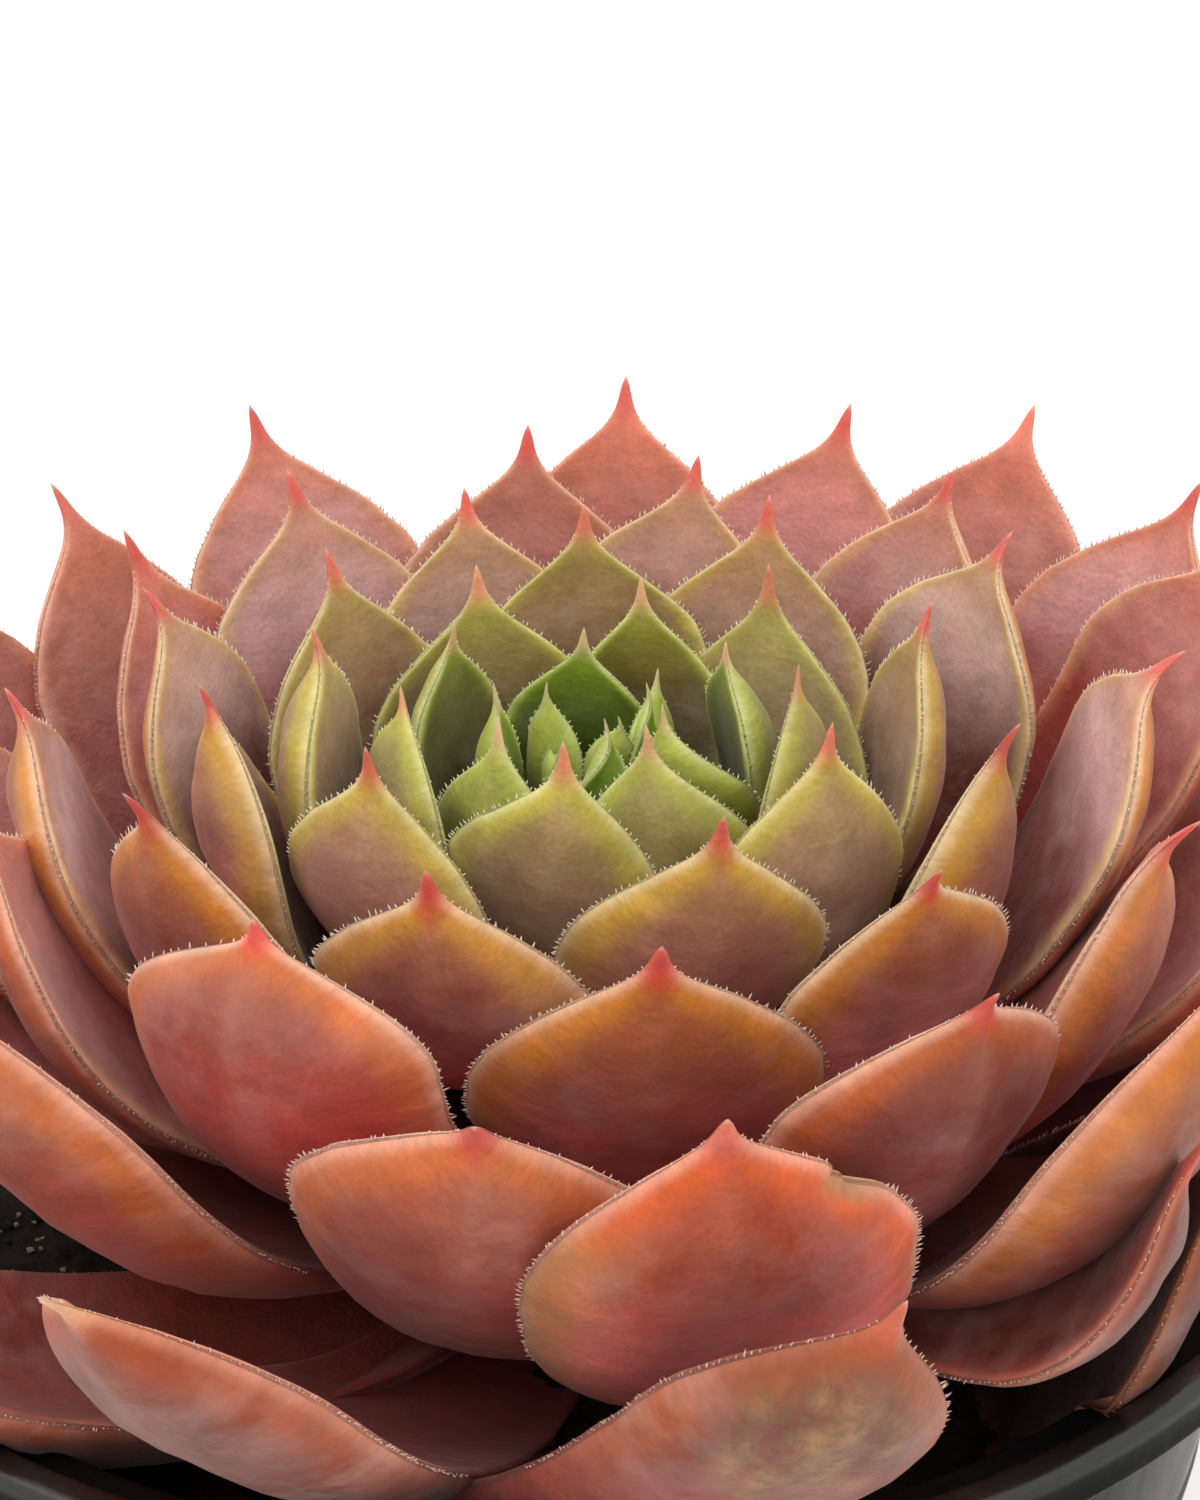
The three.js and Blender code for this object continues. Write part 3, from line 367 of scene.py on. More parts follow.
def leaf_paint(n, S):
    """Linear colour and a pale-bloom mask for every point of a leaf; the bloom is partly waxy and partly a painted
    highlight.
    """
    F, X, em, face, mm = S["F"], S["X"], S["em"], S["face"], S["mmtip"]
    W, tp = F["W"], F["tp"]
    d = mm / (W * tp)
    r = np.random.RandomState(500 + n)
    j = r.uniform(-1, 1, 6)
    P = np.stack([X * F["w"][:, None] * 0.5 + 31 * n, mm * 0.48], -1)
    nz = wave_noise(P, 7 + n, 5.0, 4)
    nz2 = wave_noise(P * 1.0 + 400, 77 + n, 9.0, 3)
    out = []
    for ramps, wide, lowa, lowb in (
        ((UP_MID, UP_LOW, UP_BAND, UP_TIP), 1.25, 0.85, 2.4),
        ((UN_MID, UN_LOW, UN_BAND, UN_TIP), 2.3, 0.9, 2.5),
    ):
        mid, low, band, tip = (ramp(n + 0.6 * j[0], q) for q in ramps)
        c = np.broadcast_to(mid, X.shape + (3,)).copy()
        # towards the base each face turns to its low colour; on the underside that colour is partly painted light that
        # brightens the shaded lower part
        low_t = smooth(d + 0.16 * nz, lowa, lowb)
        c = mixc(c, low, low_t)
        # colour gathers along the margin and fans out under the tip
        wd = wide * min(1.0, (W / 10.0)) * (1 + 0.22 * nz2)
        off = 0.38 * wd
        tb = np.exp(-((np.maximum(em - off, 0.0) / (0.72 * wd)) ** 2)) * (1 - 0.7 * smooth(d, 1.5, 3.2))
        c = mixc(c, band, np.clip(tb * (0.92 + 0.1 * nz), 0, 1))
        if ramps[0] is UP_MID:
            tt = (1 - smooth(d, 0.35, 1.25)) * 0.75
            c = mixc(c, tip, tt)
        else:
            fan = (1 - smooth(d, 0.55, 1.30)) * 0.28
            c = mixc(c, band, fan)
            tri = smooth(0.62 + 0.06 * nz - d - 1.2 * np.abs(X) * F["w"][:, None] / W, 0.0, 0.30)
            c = mixc(c, tip, tri * 0.58 * float(smooth(n, 19, 33)))
        out.append(c)
    fa = face[..., None]
    c = out[0] * (1 - fa) + out[1] * fa
    # the margin itself is pale and translucent
    c = mixc(c, ramp(n, RIM), np.exp(-((em / (0.24 + 0.014 * W)) ** 2)) * 0.78 * (1 - smooth(d, 2.0, 3.6)))
    if n == BITTEN:
        olive = np.exp(-((em / 3.4) ** 2)) * smooth(X, 0.15, 0.7) * smooth(d, 0.7, 1.2) * (face > 0.5)
        c = mixc(c, srgb(150, 104, 44), olive * 0.75)
        g = np.exp(-(((mm - 9.8) / 1.7) ** 4)) * (X < 0) * np.exp(-((em / 0.9) ** 2))
        c = mixc(c, srgb(170, 120, 74), g * 0.9)
    # painted highlight: a soft pale line along the keel ridge of the underside
    pale = np.exp(-(((X * F["w"][:, None]) / 1.0) ** 2)) * smooth(d, 0.35, 0.7) * (1 - smooth(d, 1.1, 2.2)) * (face > 0.5)
    c = mixc(c, srgb(226, 190, 170), pale * 0.07)
    # spine
    c = mixc(c, ramp(n, SPINE), (1 - smooth(d, 0.18, 0.46)) * 0.9)
    c = mixc(c, srgb(232, 206, 190), (1 - smooth(d, 0.0, 0.07)) * 0.5)
    # painted shade: the leaf bases deep among the overlapping leaves are darkened to dark red-brown, and to dark green
    # on the young inner leaves in the heart
    deep = srgb(124, 44, 40) if n > 24 else srgb(84, 70, 36)
    c = mixc(c, deep, smooth(d, 2.4, 4.0) * 0.8)
    c = c * (1 + 0.05 * nz + 0.05 * j[1])[..., None] * np.array([1 + 0.03 * j[2], 1 + 0.03 * j[3], 1.0])
    # pale clouds over the middle of each leaf, below the tip: partly waxy bloom, partly a painted highlight
    wax_and_highlight = np.clip(0.5 + 0.5 * nz2, 0, 1) * smooth(d, 0.5, 1.2) * (1 - smooth(d, 2.4, 3.6))
    return np.clip(c, 0, 1), wax_and_highlight


# ------------------------------------------------------------------ margin hairs
def hairs(row, r, step=0.42):
    """Tapering three-sided hairs along both margins: points, quads and triangles."""
    n = int(row[0])
    F1 = leaf_frame(row, np.array([0.0, 1.0]))
    L, W, tp = F1["L"], F1["W"], F1["tp"]
    reach = min((3.4 if n > 18 else 2.6) * W * tp, 0.8 * L)
    ds = []
    x = 0.30 * W * tp
    while x < reach:
        ds.append(x)
        x += step * r.uniform(0.6, 1.4)
    V, Q, T = [], [], []
    k = 0
    for sgn in (1.0, -1.0):
        dd = np.array(ds) + r.uniform(-0.15, 0.15, len(ds))
        if n == BITTEN and sgn < 0:
            dd = dd[np.abs(dd - 9.8) > 1.7]
        s = 1 - dd / L
        F = leaf_frame(row, s)
        w, lt, nn, tg = F["w"], F["lt"], F["nn"], F["tg"]
        wav = 0.0
        base = F["q"] + lt * (sgn * (w - 0.10))[:, None] + nn * (F["cup"] * w)[:, None]
        # outline direction, so that hairs stand off it
        w2 = leaf_frame(row, s + 0.004)["w"]
        slope = np.clip((w2 - w) / (0.004 * L), -3, 0.6)
        out = lt * sgn - tg * (slope * 1.0)[:, None]
        out = lt * sgn + tg * np.clip(-slope, 0, 3)[:, None]
        out /= np.linalg.norm(out, axis=1)[:, None]
        along = tg - out * (tg * out).sum(1)[:, None]
        along /= np.linalg.norm(along, axis=1)[:, None] + 1e-9
        m = len(dd)
        fade = smooth(dd, 0.25 * W * tp, 0.75 * W * tp) * (1 - 0.5 * smooth(dd, reach * 0.7, reach))
        ln = (0.34 + 0.26 * r.rand(m)) * (0.5 + 0.5 * fade) * min(1.0, 0.55 + W / 22)
        dirs = out + along * r.uniform(0.15, 0.75, m)[:, None] + nn * r.uniform(-0.35, 0.45, m)[:, None]
        dirs /= np.linalg.norm(dirs, axis=1)[:, None]
        bend = along * r.uniform(0.0, 0.35, m)[:, None] + nn * r.uniform(-0.1, 0.25, m)[:, None]
        rad = 0.074 * r.uniform(0.75, 1.2, m)
        a = np.cross(dirs, nn)
        a /= np.linalg.norm(a, axis=1)[:, None] + 1e-9
        b = np.cross(dirs, a)
        ring0, ring1 = [], []
        for i in range(3):
            ca, sa = math.cos(i * 2.0944), math.sin(i * 2.0944)
            off = a * ca + b * sa
            ring0.append(base + off * (rad * 1.25)[:, None])
            ring1.append(base + dirs * (ln * 0.55)[:, None] + bend * (ln * 0.16)[:, None] + off * (rad * 0.75)[:, None])
        tipp = base + dirs * ln[:, None] + bend * (ln * 0.5)[:, None]
        P = np.stack(ring0 + ring1 + [tipp], 1)  # m,7,3
        V.append(P.reshape(-1, 3))
        o = k + 7 * np.arange(m)
        for i in range(3):
            i2 = (i + 1) % 3
            Q.append(np.stack([o + i, o + i2, o + 3 + i2, o + 3 + i], 1))
            T.append(np.stack([o + 3 + i, o + 3 + i2, o + 6], 1))
        T.append(np.stack([o + 2, o + 1, o + 0], 1))
        k += 7 * m
    return np.concatenate(V), np.concatenate(Q), np.concatenate(T)


# ------------------------------------------------------------------ materials
class Tree:
    """Small helper for building a node material."""

    def __init__(self, name):
        self.mat = bpy.data.materials.new(name)
        self.mat.use_nodes = True
        self.nt = self.mat.node_tree
        self.nt.nodes.clear()
        self.out = self.add("ShaderNodeOutputMaterial")
        self.bsdf = self.add("ShaderNodeBsdfPrincipled")
        self.link(self.bsdf.outputs[0], self.out.inputs[0])

    def add(self, kind, **props):
        node = self.nt.nodes.new(kind)
        for k, v in props.items():
            setattr(node, k, v)
        return node

    def link(self, a, b):
        self.nt.links.new(a, b)

    def attr(self, name):
        return self.add("ShaderNodeAttribute", attribute_name=name, attribute_type="GEOMETRY")

    def noise(self, vec, scale, detail=4.0, rough=0.55, dist=0.0):
        t = self.add("ShaderNodeTexNoise")
        t.inputs["Scale"].default_value = scale
        t.inputs["Detail"].default_value = detail
        t.inputs["Roughness"].default_value = rough
        t.inputs["Distortion"].default_value = dist
        if vec is not None:
            self.link(vec, t.inputs["Vector"])
        return t.outputs["Fac"]

    def voronoi(self, vec, scale, feature="F1"):
        t = self.add("ShaderNodeTexVoronoi", feature=feature)
        t.inputs["Scale"].default_value = scale
        if vec is not None:
            self.link(vec, t.inputs["Vector"])
        return t.outputs["Distance"]

    def scaled(self, vec, sx, sy, sz):
        m = self.add("ShaderNodeMapping")
        m.inputs["Scale"].default_value = (sx, sy, sz)
        self.link(vec, m.inputs["Vector"])
        return m.outputs[0]

    def range(self, val, a, b, lo, hi):
        m = self.add("ShaderNodeMapRange")
        m.inputs["From Min"].default_value = a
        m.inputs["From Max"].default_value = b
        m.inputs["To Min"].default_value = lo
        m.inputs["To Max"].default_value = hi
        self.link(val, m.inputs["Value"])
        return m.outputs[0]

    def math(self, op, a, b=None):
        m = self.add("ShaderNodeMath", operation=op)
        for i, v in enumerate((a, b)):
            if v is None:
                continue
            if isinstance(v, (int, float)):
                m.inputs[i].default_value = v
            else:
                self.link(v, m.inputs[i])
        return m.outputs[0]

    def mix(self, fac, a, b, blend="MIX"):
        m = self.add("ShaderNodeMix", data_type="RGBA", blend_type=blend)
        if isinstance(fac, (int, float)):
            m.inputs[0].default_value = fac
        else:
            self.link(fac, m.inputs[0])
        for i, v in ((6, a), (7, b)):
            if isinstance(v, (tuple, list, np.ndarray)):
                m.inputs[i].default_value = (float(v[0]), float(v[1]), float(v[2]), 1.0)
            else:
                self.link(v, m.inputs[i])
        return m.outputs[2]

    def bump(self, height, strength, distance, normal=None):
        b = self.add("ShaderNodeBump")
        b.inputs["Strength"].default_value = strength
        b.inputs["Distance"].default_value = distance
        self.link(height, b.inputs["Height"])
        if normal is not None:
            self.link(normal, b.inputs["Normal"])
        return b.outputs[0]


def leaf_skin(name, scarred):
    t = Tree(name)
    b = t.bsdf
    pos = t.attr("leafco").outputs["Vector"]  # millimetres across and along the leaf
    col = t.attr("Col").outputs["Color"]
    wax_and_highlight = t.attr("wax_and_highlight").outputs["Fac"]
    # long faint veins, clouding, and fine pores
    veins = t.noise(t.scaled(pos, 1.0, 0.45, 1.0), 0.9, 3.0, 0.55)
    cloud = t.noise(pos, 0.34, 3.0, 0.55)
    fine = t.noise(pos, 2.6, 3.0, 0.65)
    v = t.range(veins, 0.3, 0.7, 0.98, 1.02)
    c2 = t.range(cloud, 0.3, 0.7, 0.86, 1.13)
    f2 = t.range(fine, 0.3, 0.7, 0.90, 1.10)
    k = t.math("MULTIPLY", t.math("MULTIPLY", v, c2), f2)
    comb = t.add("ShaderNodeCombineXYZ")
    for i in range(3):
        t.link(k, comb.inputs[i])
    base = t.mix(1.0, col, comb.outputs[0], "MULTIPLY")
    # rosy clouds where the pigment is denser
    blush = t.range(t.noise(pos, 0.45, 2.0, 0.55), 0.5, 0.72, 0.0, 0.30)
    base = t.mix(blush, base, t.mix(1.0, base, (1.12, 0.80, 0.80), "MULTIPLY"))
    # thin pale waxy bloom, partly a painted highlight: pale clouds over the middle of each leaf
    bloom_and_highlight = t.math("MULTIPLY", wax_and_highlight, t.range(t.noise(pos, 0.28, 3.0, 0.6), 0.38, 0.70, 0.0, 0.22))
    base = t.mix(bloom_and_highlight, base, tuple(srgb(226, 206, 200)))
    if scarred:  # a corky netted scar, where the mask asks for it
        scar = t.attr("scar").outputs["Fac"]
        net = t.range(t.voronoi(pos, 0.62), 0.15, 0.75, 1.0, 0.25)
        net = t.math("MULTIPLY", net, t.range(t.noise(pos, 0.42, 6.0, 0.7, 0.8), 0.34, 0.56, 0.15, 0.9))
        smask = t.math("MULTIPLY", scar, net)
        base = t.mix(smask, base, tuple(srgb(156, 118, 80)))
        dots = t.math("MULTIPLY", scar, t.range(t.noise(pos, 1.5, 4.0, 0.6, 0.2), 0.50, 0.66, 0.0, 0.70))
        base = t.mix(dots, base, tuple(srgb(104, 82, 48)))
    t.link(base, b.inputs["Base Color"])
    t.link(t.range(fine, 0.3, 0.7, 0.42, 0.54), b.inputs["Roughness"])
    b.inputs["IOR"].default_value = 1.42
    b.inputs["Specular IOR Level"].default_value = 0.5
    b.inputs["Subsurface Weight"].default_value = 0.08
    b.inputs["Subsurface Radius"].default_value = (1.0, 0.45, 0.2)
    b.inputs["Subsurface Scale"].default_value = 0.0022
    b.inputs["Sheen Weight"].default_value = 0.12
    b.inputs["Sheen Roughness"].default_value = 0.45
    b.inputs["Sheen Tint"].default_value = (1.0, 0.93, 0.9, 1.0)
    height = t.math("ADD", t.math("MULTIPLY", cloud, 0.00030), t.math("MULTIPLY", fine, 0.00005))
    t.link(t.bump(height, 1.0, 1.0), b.inputs["Normal"])
    return t.mat


def hair_skin():
    t = Tree("margin_hair")
    b = t.bsdf
    col = t.attr("Col").outputs["Color"]
    geo = t.add("ShaderNodeNewGeometry")
    k = t.range(t.noise(geo.outputs["Position"], 900.0, 2.0), 0.3, 0.7, 0.9, 1.1)
    comb = t.add("ShaderNodeCombineXYZ")
    for i in range(3):
        t.link(k, comb.inputs[i])
    t.link(t.mix(1.0, col, comb.outputs[0], "MULTIPLY"), b.inputs["Base Color"])
    b.inputs["Roughness"].default_value = 0.35
    return t.mat


SCAR_X, SCAR_D = 0.5, 11.5  # middle of the scar: mm across, mm from the tip
MAT_LEAF = leaf_skin("leaf_skin", False)
MAT_SCARRED = leaf_skin("leaf_skin_scarred", True)
MAT_HAIR = hair_skin()


# ------------------------------------------------------------------ leaves
def ring_faces(rings, K, offset):
    i = np.arange(rings - 1)[:, None]
    j = np.arange(K)[None]
    a = offset + i * K + j
    b = offset + i * K + (j + 1) % K
    c = b + K
    d = a + K
    return np.stack([a, b, c, d], -1).reshape(-1, 4)


def leaf_mesh(row, r, fine=1.0):
    """Skin and hairs of one leaf: points, quads, triangles, colours and masks."""
    n = int(row[0])
    s = stations_for(row, fine)
    S = leaf_body(row, s)
    col, wax_and_highlight = leaf_paint(n, S)
    pts = S["pts"].reshape(-1, 3)
    K, R = S["K"], len(s)
    quads = ring_faces(R, K, 0)[:, ::-1]
    c0 = pts[:K].mean(0)
    F = leaf_frame(row, np.array([0.0, 1.0]))
    tipp = F["q"][1]
    allp = np.concatenate([pts, c0[None], tipp[None]])
    k0, k1 = len(pts), len(pts) + 1
    j = np.arange(K)
    tri = np.concatenate(
        [
            np.stack([np.full(K, k0), j, (j + 1) % K], 1),
            np.stack([(R - 1) * K + (j + 1) % K, (R - 1) * K + j, np.full(K, k1)], 1),
        ]
    )
    W = S["F"]["W"]
    co = np.stack([S["X"] * S["F"]["w"][:, None] + 60 * n, S["mmtip"], S["face"] * 25.0 + 3.0 * n], -1).reshape(-1, 3)
    co = np.concatenate([co, co[:1], co[-1:]])
    cc = col.reshape(-1, 3)
    cc = np.concatenate([cc, cc[:1], cc[-1:]])
    ww = wax_and_highlight.reshape(-1)
    ww = np.concatenate([ww, ww[:1], ww[-1:]])
    hv, hq, ht = hairs(row, r)
    o = len(allp)
    hc = ramp(n, [(0, srgb(214, 226, 170)), (15, srgb(226, 230, 190)), (30, srgb(238, 226, 206)), (45, srgb(238, 208, 196)), (61, srgb(232, 196, 182)), (77, srgb(214, 170, 150))])
    P = np.concatenate([allp, hv])
    Q = np.concatenate([quads, hq + o])
    T = np.concatenate([tri, ht + o])
    C = np.concatenate([cc, np.tile(hc, (len(hv), 1))])
    WX = np.concatenate([ww, np.zeros(len(hv))])
    CO = np.concatenate([co, hv])
    mq = np.concatenate([np.zeros(len(quads)), np.ones(len(hq))])
    mt = np.concatenate([np.zeros(len(tri)), np.ones(len(ht))])
    return P, Q, T, C, WX, CO, mq, mt


def clear_of_pot(P):
    """Leaf points that would lie in the pot's wall are pressed back inside it, and those in its rim are lifted onto the rim."""
    r, z = np.hypot(P[:, 0], P[:, 1]), P[:, 2]
    wall = lambda h: BODY_BASE_R + (BODY_TOP_R - BODY_BASE_R) * h / (POT_H - RIM_SKIRT) - WALL
    hs = [0.0, POT_H - 3.6, POT_H - 1.9, POT_H - 1.25, POT_H]
    lim = np.interp(z, hs, [wall(0.0), wall(POT_H - 3.6), wall(POT_H - 3.2) + 0.6, RIM_R - 3.0, RIM_R - 2.45]) - 0.15
    push, lift = r - lim, POT_H + 0.25 - z
    hit = (push > 0) & (z < POT_H)
    inward = hit & ((push < lift) | (r < 55.5))
    P[inward, :2] *= (lim / np.maximum(r, 1.0))[inward, None]
    up = hit & ~inward
    P[up, 2] = POT_H + 0.25 + 0.1 * (z[up] - POT_H)
    return P


def build_leaf_object(name, rows, r, fine=1.0):
    P, Q, T, C, WX, CO, MQ, MT = [], [], [], [], [], [], [], []
    o = 0
    for row in rows:
        p, q, t, c, wx, co, mq, mt = leaf_mesh(row, r, fine)
        P.append(p), Q.append(q + o), T.append(t + o), C.append(c), WX.append(wx), CO.append(co), MQ.append(mq), MT.append(mt)
        o += len(p)
    P, Q, T = np.concatenate(P), np.concatenate(Q), np.concatenate(T)
    faces = [*Q, *T]
    ob = new_object(name, clear_of_pot(P + HEART), faces)
    put_attr(ob, "Col", "FLOAT_COLOR", np.concatenate(C))
    put_attr(ob, "wax_and_highlight", "FLOAT", np.concatenate(WX))
    put_attr(ob, "leafco", "FLOAT_VECTOR", np.concatenate(CO))
    if int(rows[0][0]) == SCARRED:
        co = np.concatenate(CO)
        away = np.hypot((co[:, 0] - 60 * SCARRED - SCAR_X) / 6.5, (co[:, 1] - SCAR_D) / 7.5)
        put_attr(ob, "scar", "FLOAT", 1 - smooth(away, 0.55, 1.05))
    ob.data.materials.append(MAT_SCARRED if int(rows[0][0]) == SCARRED else MAT_LEAF)
    ob.data.materials.append(MAT_HAIR)
    ob.data.polygons.foreach_set("material_index", np.concatenate(MQ + MT).astype(np.int32))
    return ob


PIECES = []
for row in LEAVES:
    if row[0] <= BUD_LAST:
        continue
    n = int(row[0])
    ob = build_leaf_object("leaf_%d_skin" % n, [row], RNG)
    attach(ob, "root")
    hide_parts("leaf_%d" % n)
    PIECES.append(ob)

bud = build_leaf_object("rosette_heart", [r_ for r_ in LEAVES if r_[0] <= BUD_LAST], RNG, 0.62)


def lathe(name, prof, seg, closed=True):
    prof = np.array(prof, float)
    a = np.linspace(0, 2 * math.pi, seg, endpoint=False)
    pts = np.stack([prof[:, 0][:, None] * np.cos(a), prof[:, 0][:, None] * np.sin(a), prof[:, 1][:, None] + 0 * a], -1)
    R = len(prof)
    q = []
    for i in range(R if closed else R - 1):
        i2 = (i + 1) % R
        for j in range(seg):
            j2 = (j + 1) % seg
            q.append([i * seg + j, i * seg + j2, i2 * seg + j2, i2 * seg + j])
    return pts.reshape(-1, 3), np.array(q)


def shade(ob, mat):
    ob.data.materials.clear()
    ob.data.materials.append(mat)


# ------------------------------------------------------------------ stem
def stem_object():
    zb = SOIL_TOP + 0.3 - HEART[2]
    prof = np.array([[9.5, zb], [8.2, zb + 4], [6.0, zb + 12], [4.5, zb + 20], [2.5, -4.0], [0.2, -3.2]])
    zs = np.linspace(zb, -3.2, 60)
    rs = np.interp(zs, prof[:, 1], prof[:, 0])
    pr = [[0.05, zb]] + [[a, z] for a, z in zip(rs, zs)]
    pts, q = lathe("stem", pr, 48, closed=False)
    rr = np.hypot(pts[:, 0], pts[:, 1])
    k = wave_noise(pts * np.array([1, 1, 0.6]), 5, 3.0, 3) * 0.25 * smooth(rr, 1.0, 4.0)
    pts[:, 0] += pts[:, 0] / np.maximum(rr, 0.1) * k
    pts[:, 1] += pts[:, 1] / np.maximum(rr, 0.1) * k
    j = np.arange(48)
    base = np.stack([(j + 1) % 48, j, np.full(48, len(pts))], 1)
    top = np.stack([len(pts) - 48 + j, len(pts) - 48 + (j + 1) % 48, np.full(48, len(pts) + 1)], 1)
    pts = np.concatenate([pts, [[0, 0, zb]], [[0, 0, -3.1]]])
    return new_object("leafy_stem", pts + HEART, [*q, *base, *top])


def stem_skin():
    t = Tree("stem_skin")
    geo = t.add("ShaderNodeNewGeometry")
    p = geo.outputs["Position"]
    n = t.noise(p, 700.0, 5.0, 0.6)
    t.link(t.mix(t.range(n, 0.35, 0.65, 0.0, 1.0), tuple(srgb(86, 60, 40)), tuple(srgb(122, 104, 62))), t.bsdf.inputs["Base Color"])
    t.link(t.range(n, 0.3, 0.7, 0.6, 0.85), t.bsdf.inputs["Roughness"])
    t.link(t.bump(n, 0.5, 0.0004), t.bsdf.inputs["Normal"])
    return t.mat


stem = stem_object()
shade(stem, stem_skin())
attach(bud, "root")
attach(stem, "root")
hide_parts("crown")


# ------------------------------------------------------------------ pot
def rounded(points, radii, n=5):
    """A profile with its corners rounded."""
    out = []
    P = [np.array(p, float) for p in points]
    N = len(P)
    for i in range(N):
        r_ = radii[i]
        if r_ <= 0:
            out.append(P[i])
            continue
        a, b, c = P[i - 1], P[i], P[(i + 1) % N]
        u, v = a - b, c - b
        lu, lv = np.linalg.norm(u), np.linalg.norm(v)
        t_ = min(r_, 0.45 * lu, 0.45 * lv)
        p0, p1 = b + u / lu * t_, b + v / lv * t_
        for k in range(n + 1):
            s = k / n
            out.append((1 - s) ** 2 * p0 + 2 * (1 - s) * s * b + s * s * p1)
    return out


def taper(z):
    return BODY_BASE_R + (BODY_TOP_R - BODY_BASE_R) * z / (POT_H - RIM_SKIRT)


def pot_object():
    z1 = POT_H - RIM_SKIRT
    inner = lambda z: taper(z) - WALL
    pts = [
        (24.0, 0.9), (25.0, 0.0), (BODY_BASE_R - 0.3, 0.0), (BODY_BASE_R + 0.15, 2.6), (BODY_BASE_R + 0.55, 3.0),
        (taper(60.0), 60.0), (taper(60.6) - 0.25, 60.6),
        (BODY_TOP_R, z1 + 0.9), (RIM_R - 1.0, z1 + 0.5), (RIM_R - 0.75, z1 - 0.05), (RIM_R - 0.05, z1 + 0.1),
        (RIM_R - 0.25, POT_H - 2.0), (RIM_R - 0.2, POT_H - 0.05), (RIM_R - 2.45, POT_H + 0.0), (RIM_R - 3.0, POT_H - 1.25),
        (inner(POT_H - 3.2) + 0.7, POT_H - 1.9), (inner(POT_H - 4) + 0.1, POT_H - 3.6),
        (inner(30.0), 30.0), (inner(FLOOR) - 0.2, FLOOR), (8.0, FLOOR), (7.0, FLOOR + 0.0), (0.15, FLOOR), (0.15, 0.9),
    ]
    radii = [0.6, 0.5, 0.9, 0.5, 0.5, 0.3, 0.3, 0.9, 0.3, 0.25, 0.35, 0.8, 1.25, 1.2, 0.8, 0.6, 1.5, 0.0, 1.5, 0.0, 0.0, 0.0, 0.0]
    prof = rounded(pts, radii, 6)
    P, Q = lathe("pot", prof, 180)
    ob = new_object("pot_shell", P, Q)
    me = ob.data
    # drain holes through the bottom
    cutters = []
    for i in range(DRAINS):
        a = math.radians(30 + 360 / DRAINS * i)
        ca = np.linspace(0, 2 * math.pi, 28, endpoint=False)
        ring = np.stack([DRAIN_RING * math.cos(a) + DRAIN_R * np.cos(ca), DRAIN_RING * math.sin(a) + DRAIN_R * np.sin(ca)], 1)
        lo = np.concatenate([ring, np.full((28, 1), -4.0)], 1)
        hi = np.concatenate([ring, np.full((28, 1), FLOOR + 3.0)], 1)
        f = [[j, (j + 1) % 28, 28 + (j + 1) % 28, 28 + j] for j in range(28)] + [list(range(27, -1, -1)), list(range(28, 56))]
        cutters.append(new_object("cut_%d" % i, np.concatenate([lo, hi]), f, False))
    for c in cutters:
        m = ob.modifiers.new("cut", "BOOLEAN")
        m.operation, m.solver, m.object = "DIFFERENCE", "EXACT", c
    bpy.context.view_layer.update()
    dg = bpy.context.evaluated_depsgraph_get()
    cut = bpy.data.meshes.new_from_object(ob.evaluated_get(dg))
    ob.modifiers.clear()
    ob.data = cut
    bpy.data.meshes.remove(me)
    for c in cutters:
        bpy.data.objects.remove(c)
    ob.data.polygons.foreach_set("use_smooth", np.ones(len(ob.data.polygons), bool))
    try:
        ob.data.set_sharp_from_angle(angle=math.radians(42))
    except AttributeError:
        pass
    return ob


def pot_plastic():
    t = Tree("pot_plastic")
    b = t.bsdf
    geo = t.add("ShaderNodeNewGeometry")
    p = geo.outputs["Position"]
    grain = t.noise(p, 1900.0, 3.0, 0.6)
    flow = t.noise(t.scaled(p, 1.0, 1.0, 0.22), 130.0, 5.0, 0.6, 0.5)
    dust = t.noise(p, 240.0, 5.0, 0.72, 0.3)
    base = t.mix(t.range(flow, 0.3, 0.7, 0.0, 1.0), (0.0050, 0.0051, 0.0053), (0.0085, 0.0084, 0.0083))
    dk = t.math("MULTIPLY", t.range(dust, 0.56, 0.80, 0.0, 0.06), 1.0)
    base = t.mix(dk, base, (0.16, 0.14, 0.115))
    t.link(base, b.inputs["Base Color"])
    t.link(t.range(flow, 0.25, 0.75, 0.20, 0.34), b.inputs["Roughness"])
    sep = t.add("ShaderNodeSeparateXYZ")
    t.link(p, sep.inputs[0])
    t.link(t.range(sep.outputs[2], 0.0866, 0.0877, 0.06, 0.62), b.inputs["Specular IOR Level"])
    b.inputs["IOR"].default_value = 1.49
    n1 = t.bump(grain, 0.18, 0.00008)
    n2 = t.bump(flow, 0.25, 0.0004, n1)
    t.link(n2, b.inputs["Normal"])
    return t.mat


pot = pot_object()
shade(pot, pot_plastic())
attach(pot, "root")
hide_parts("pot")


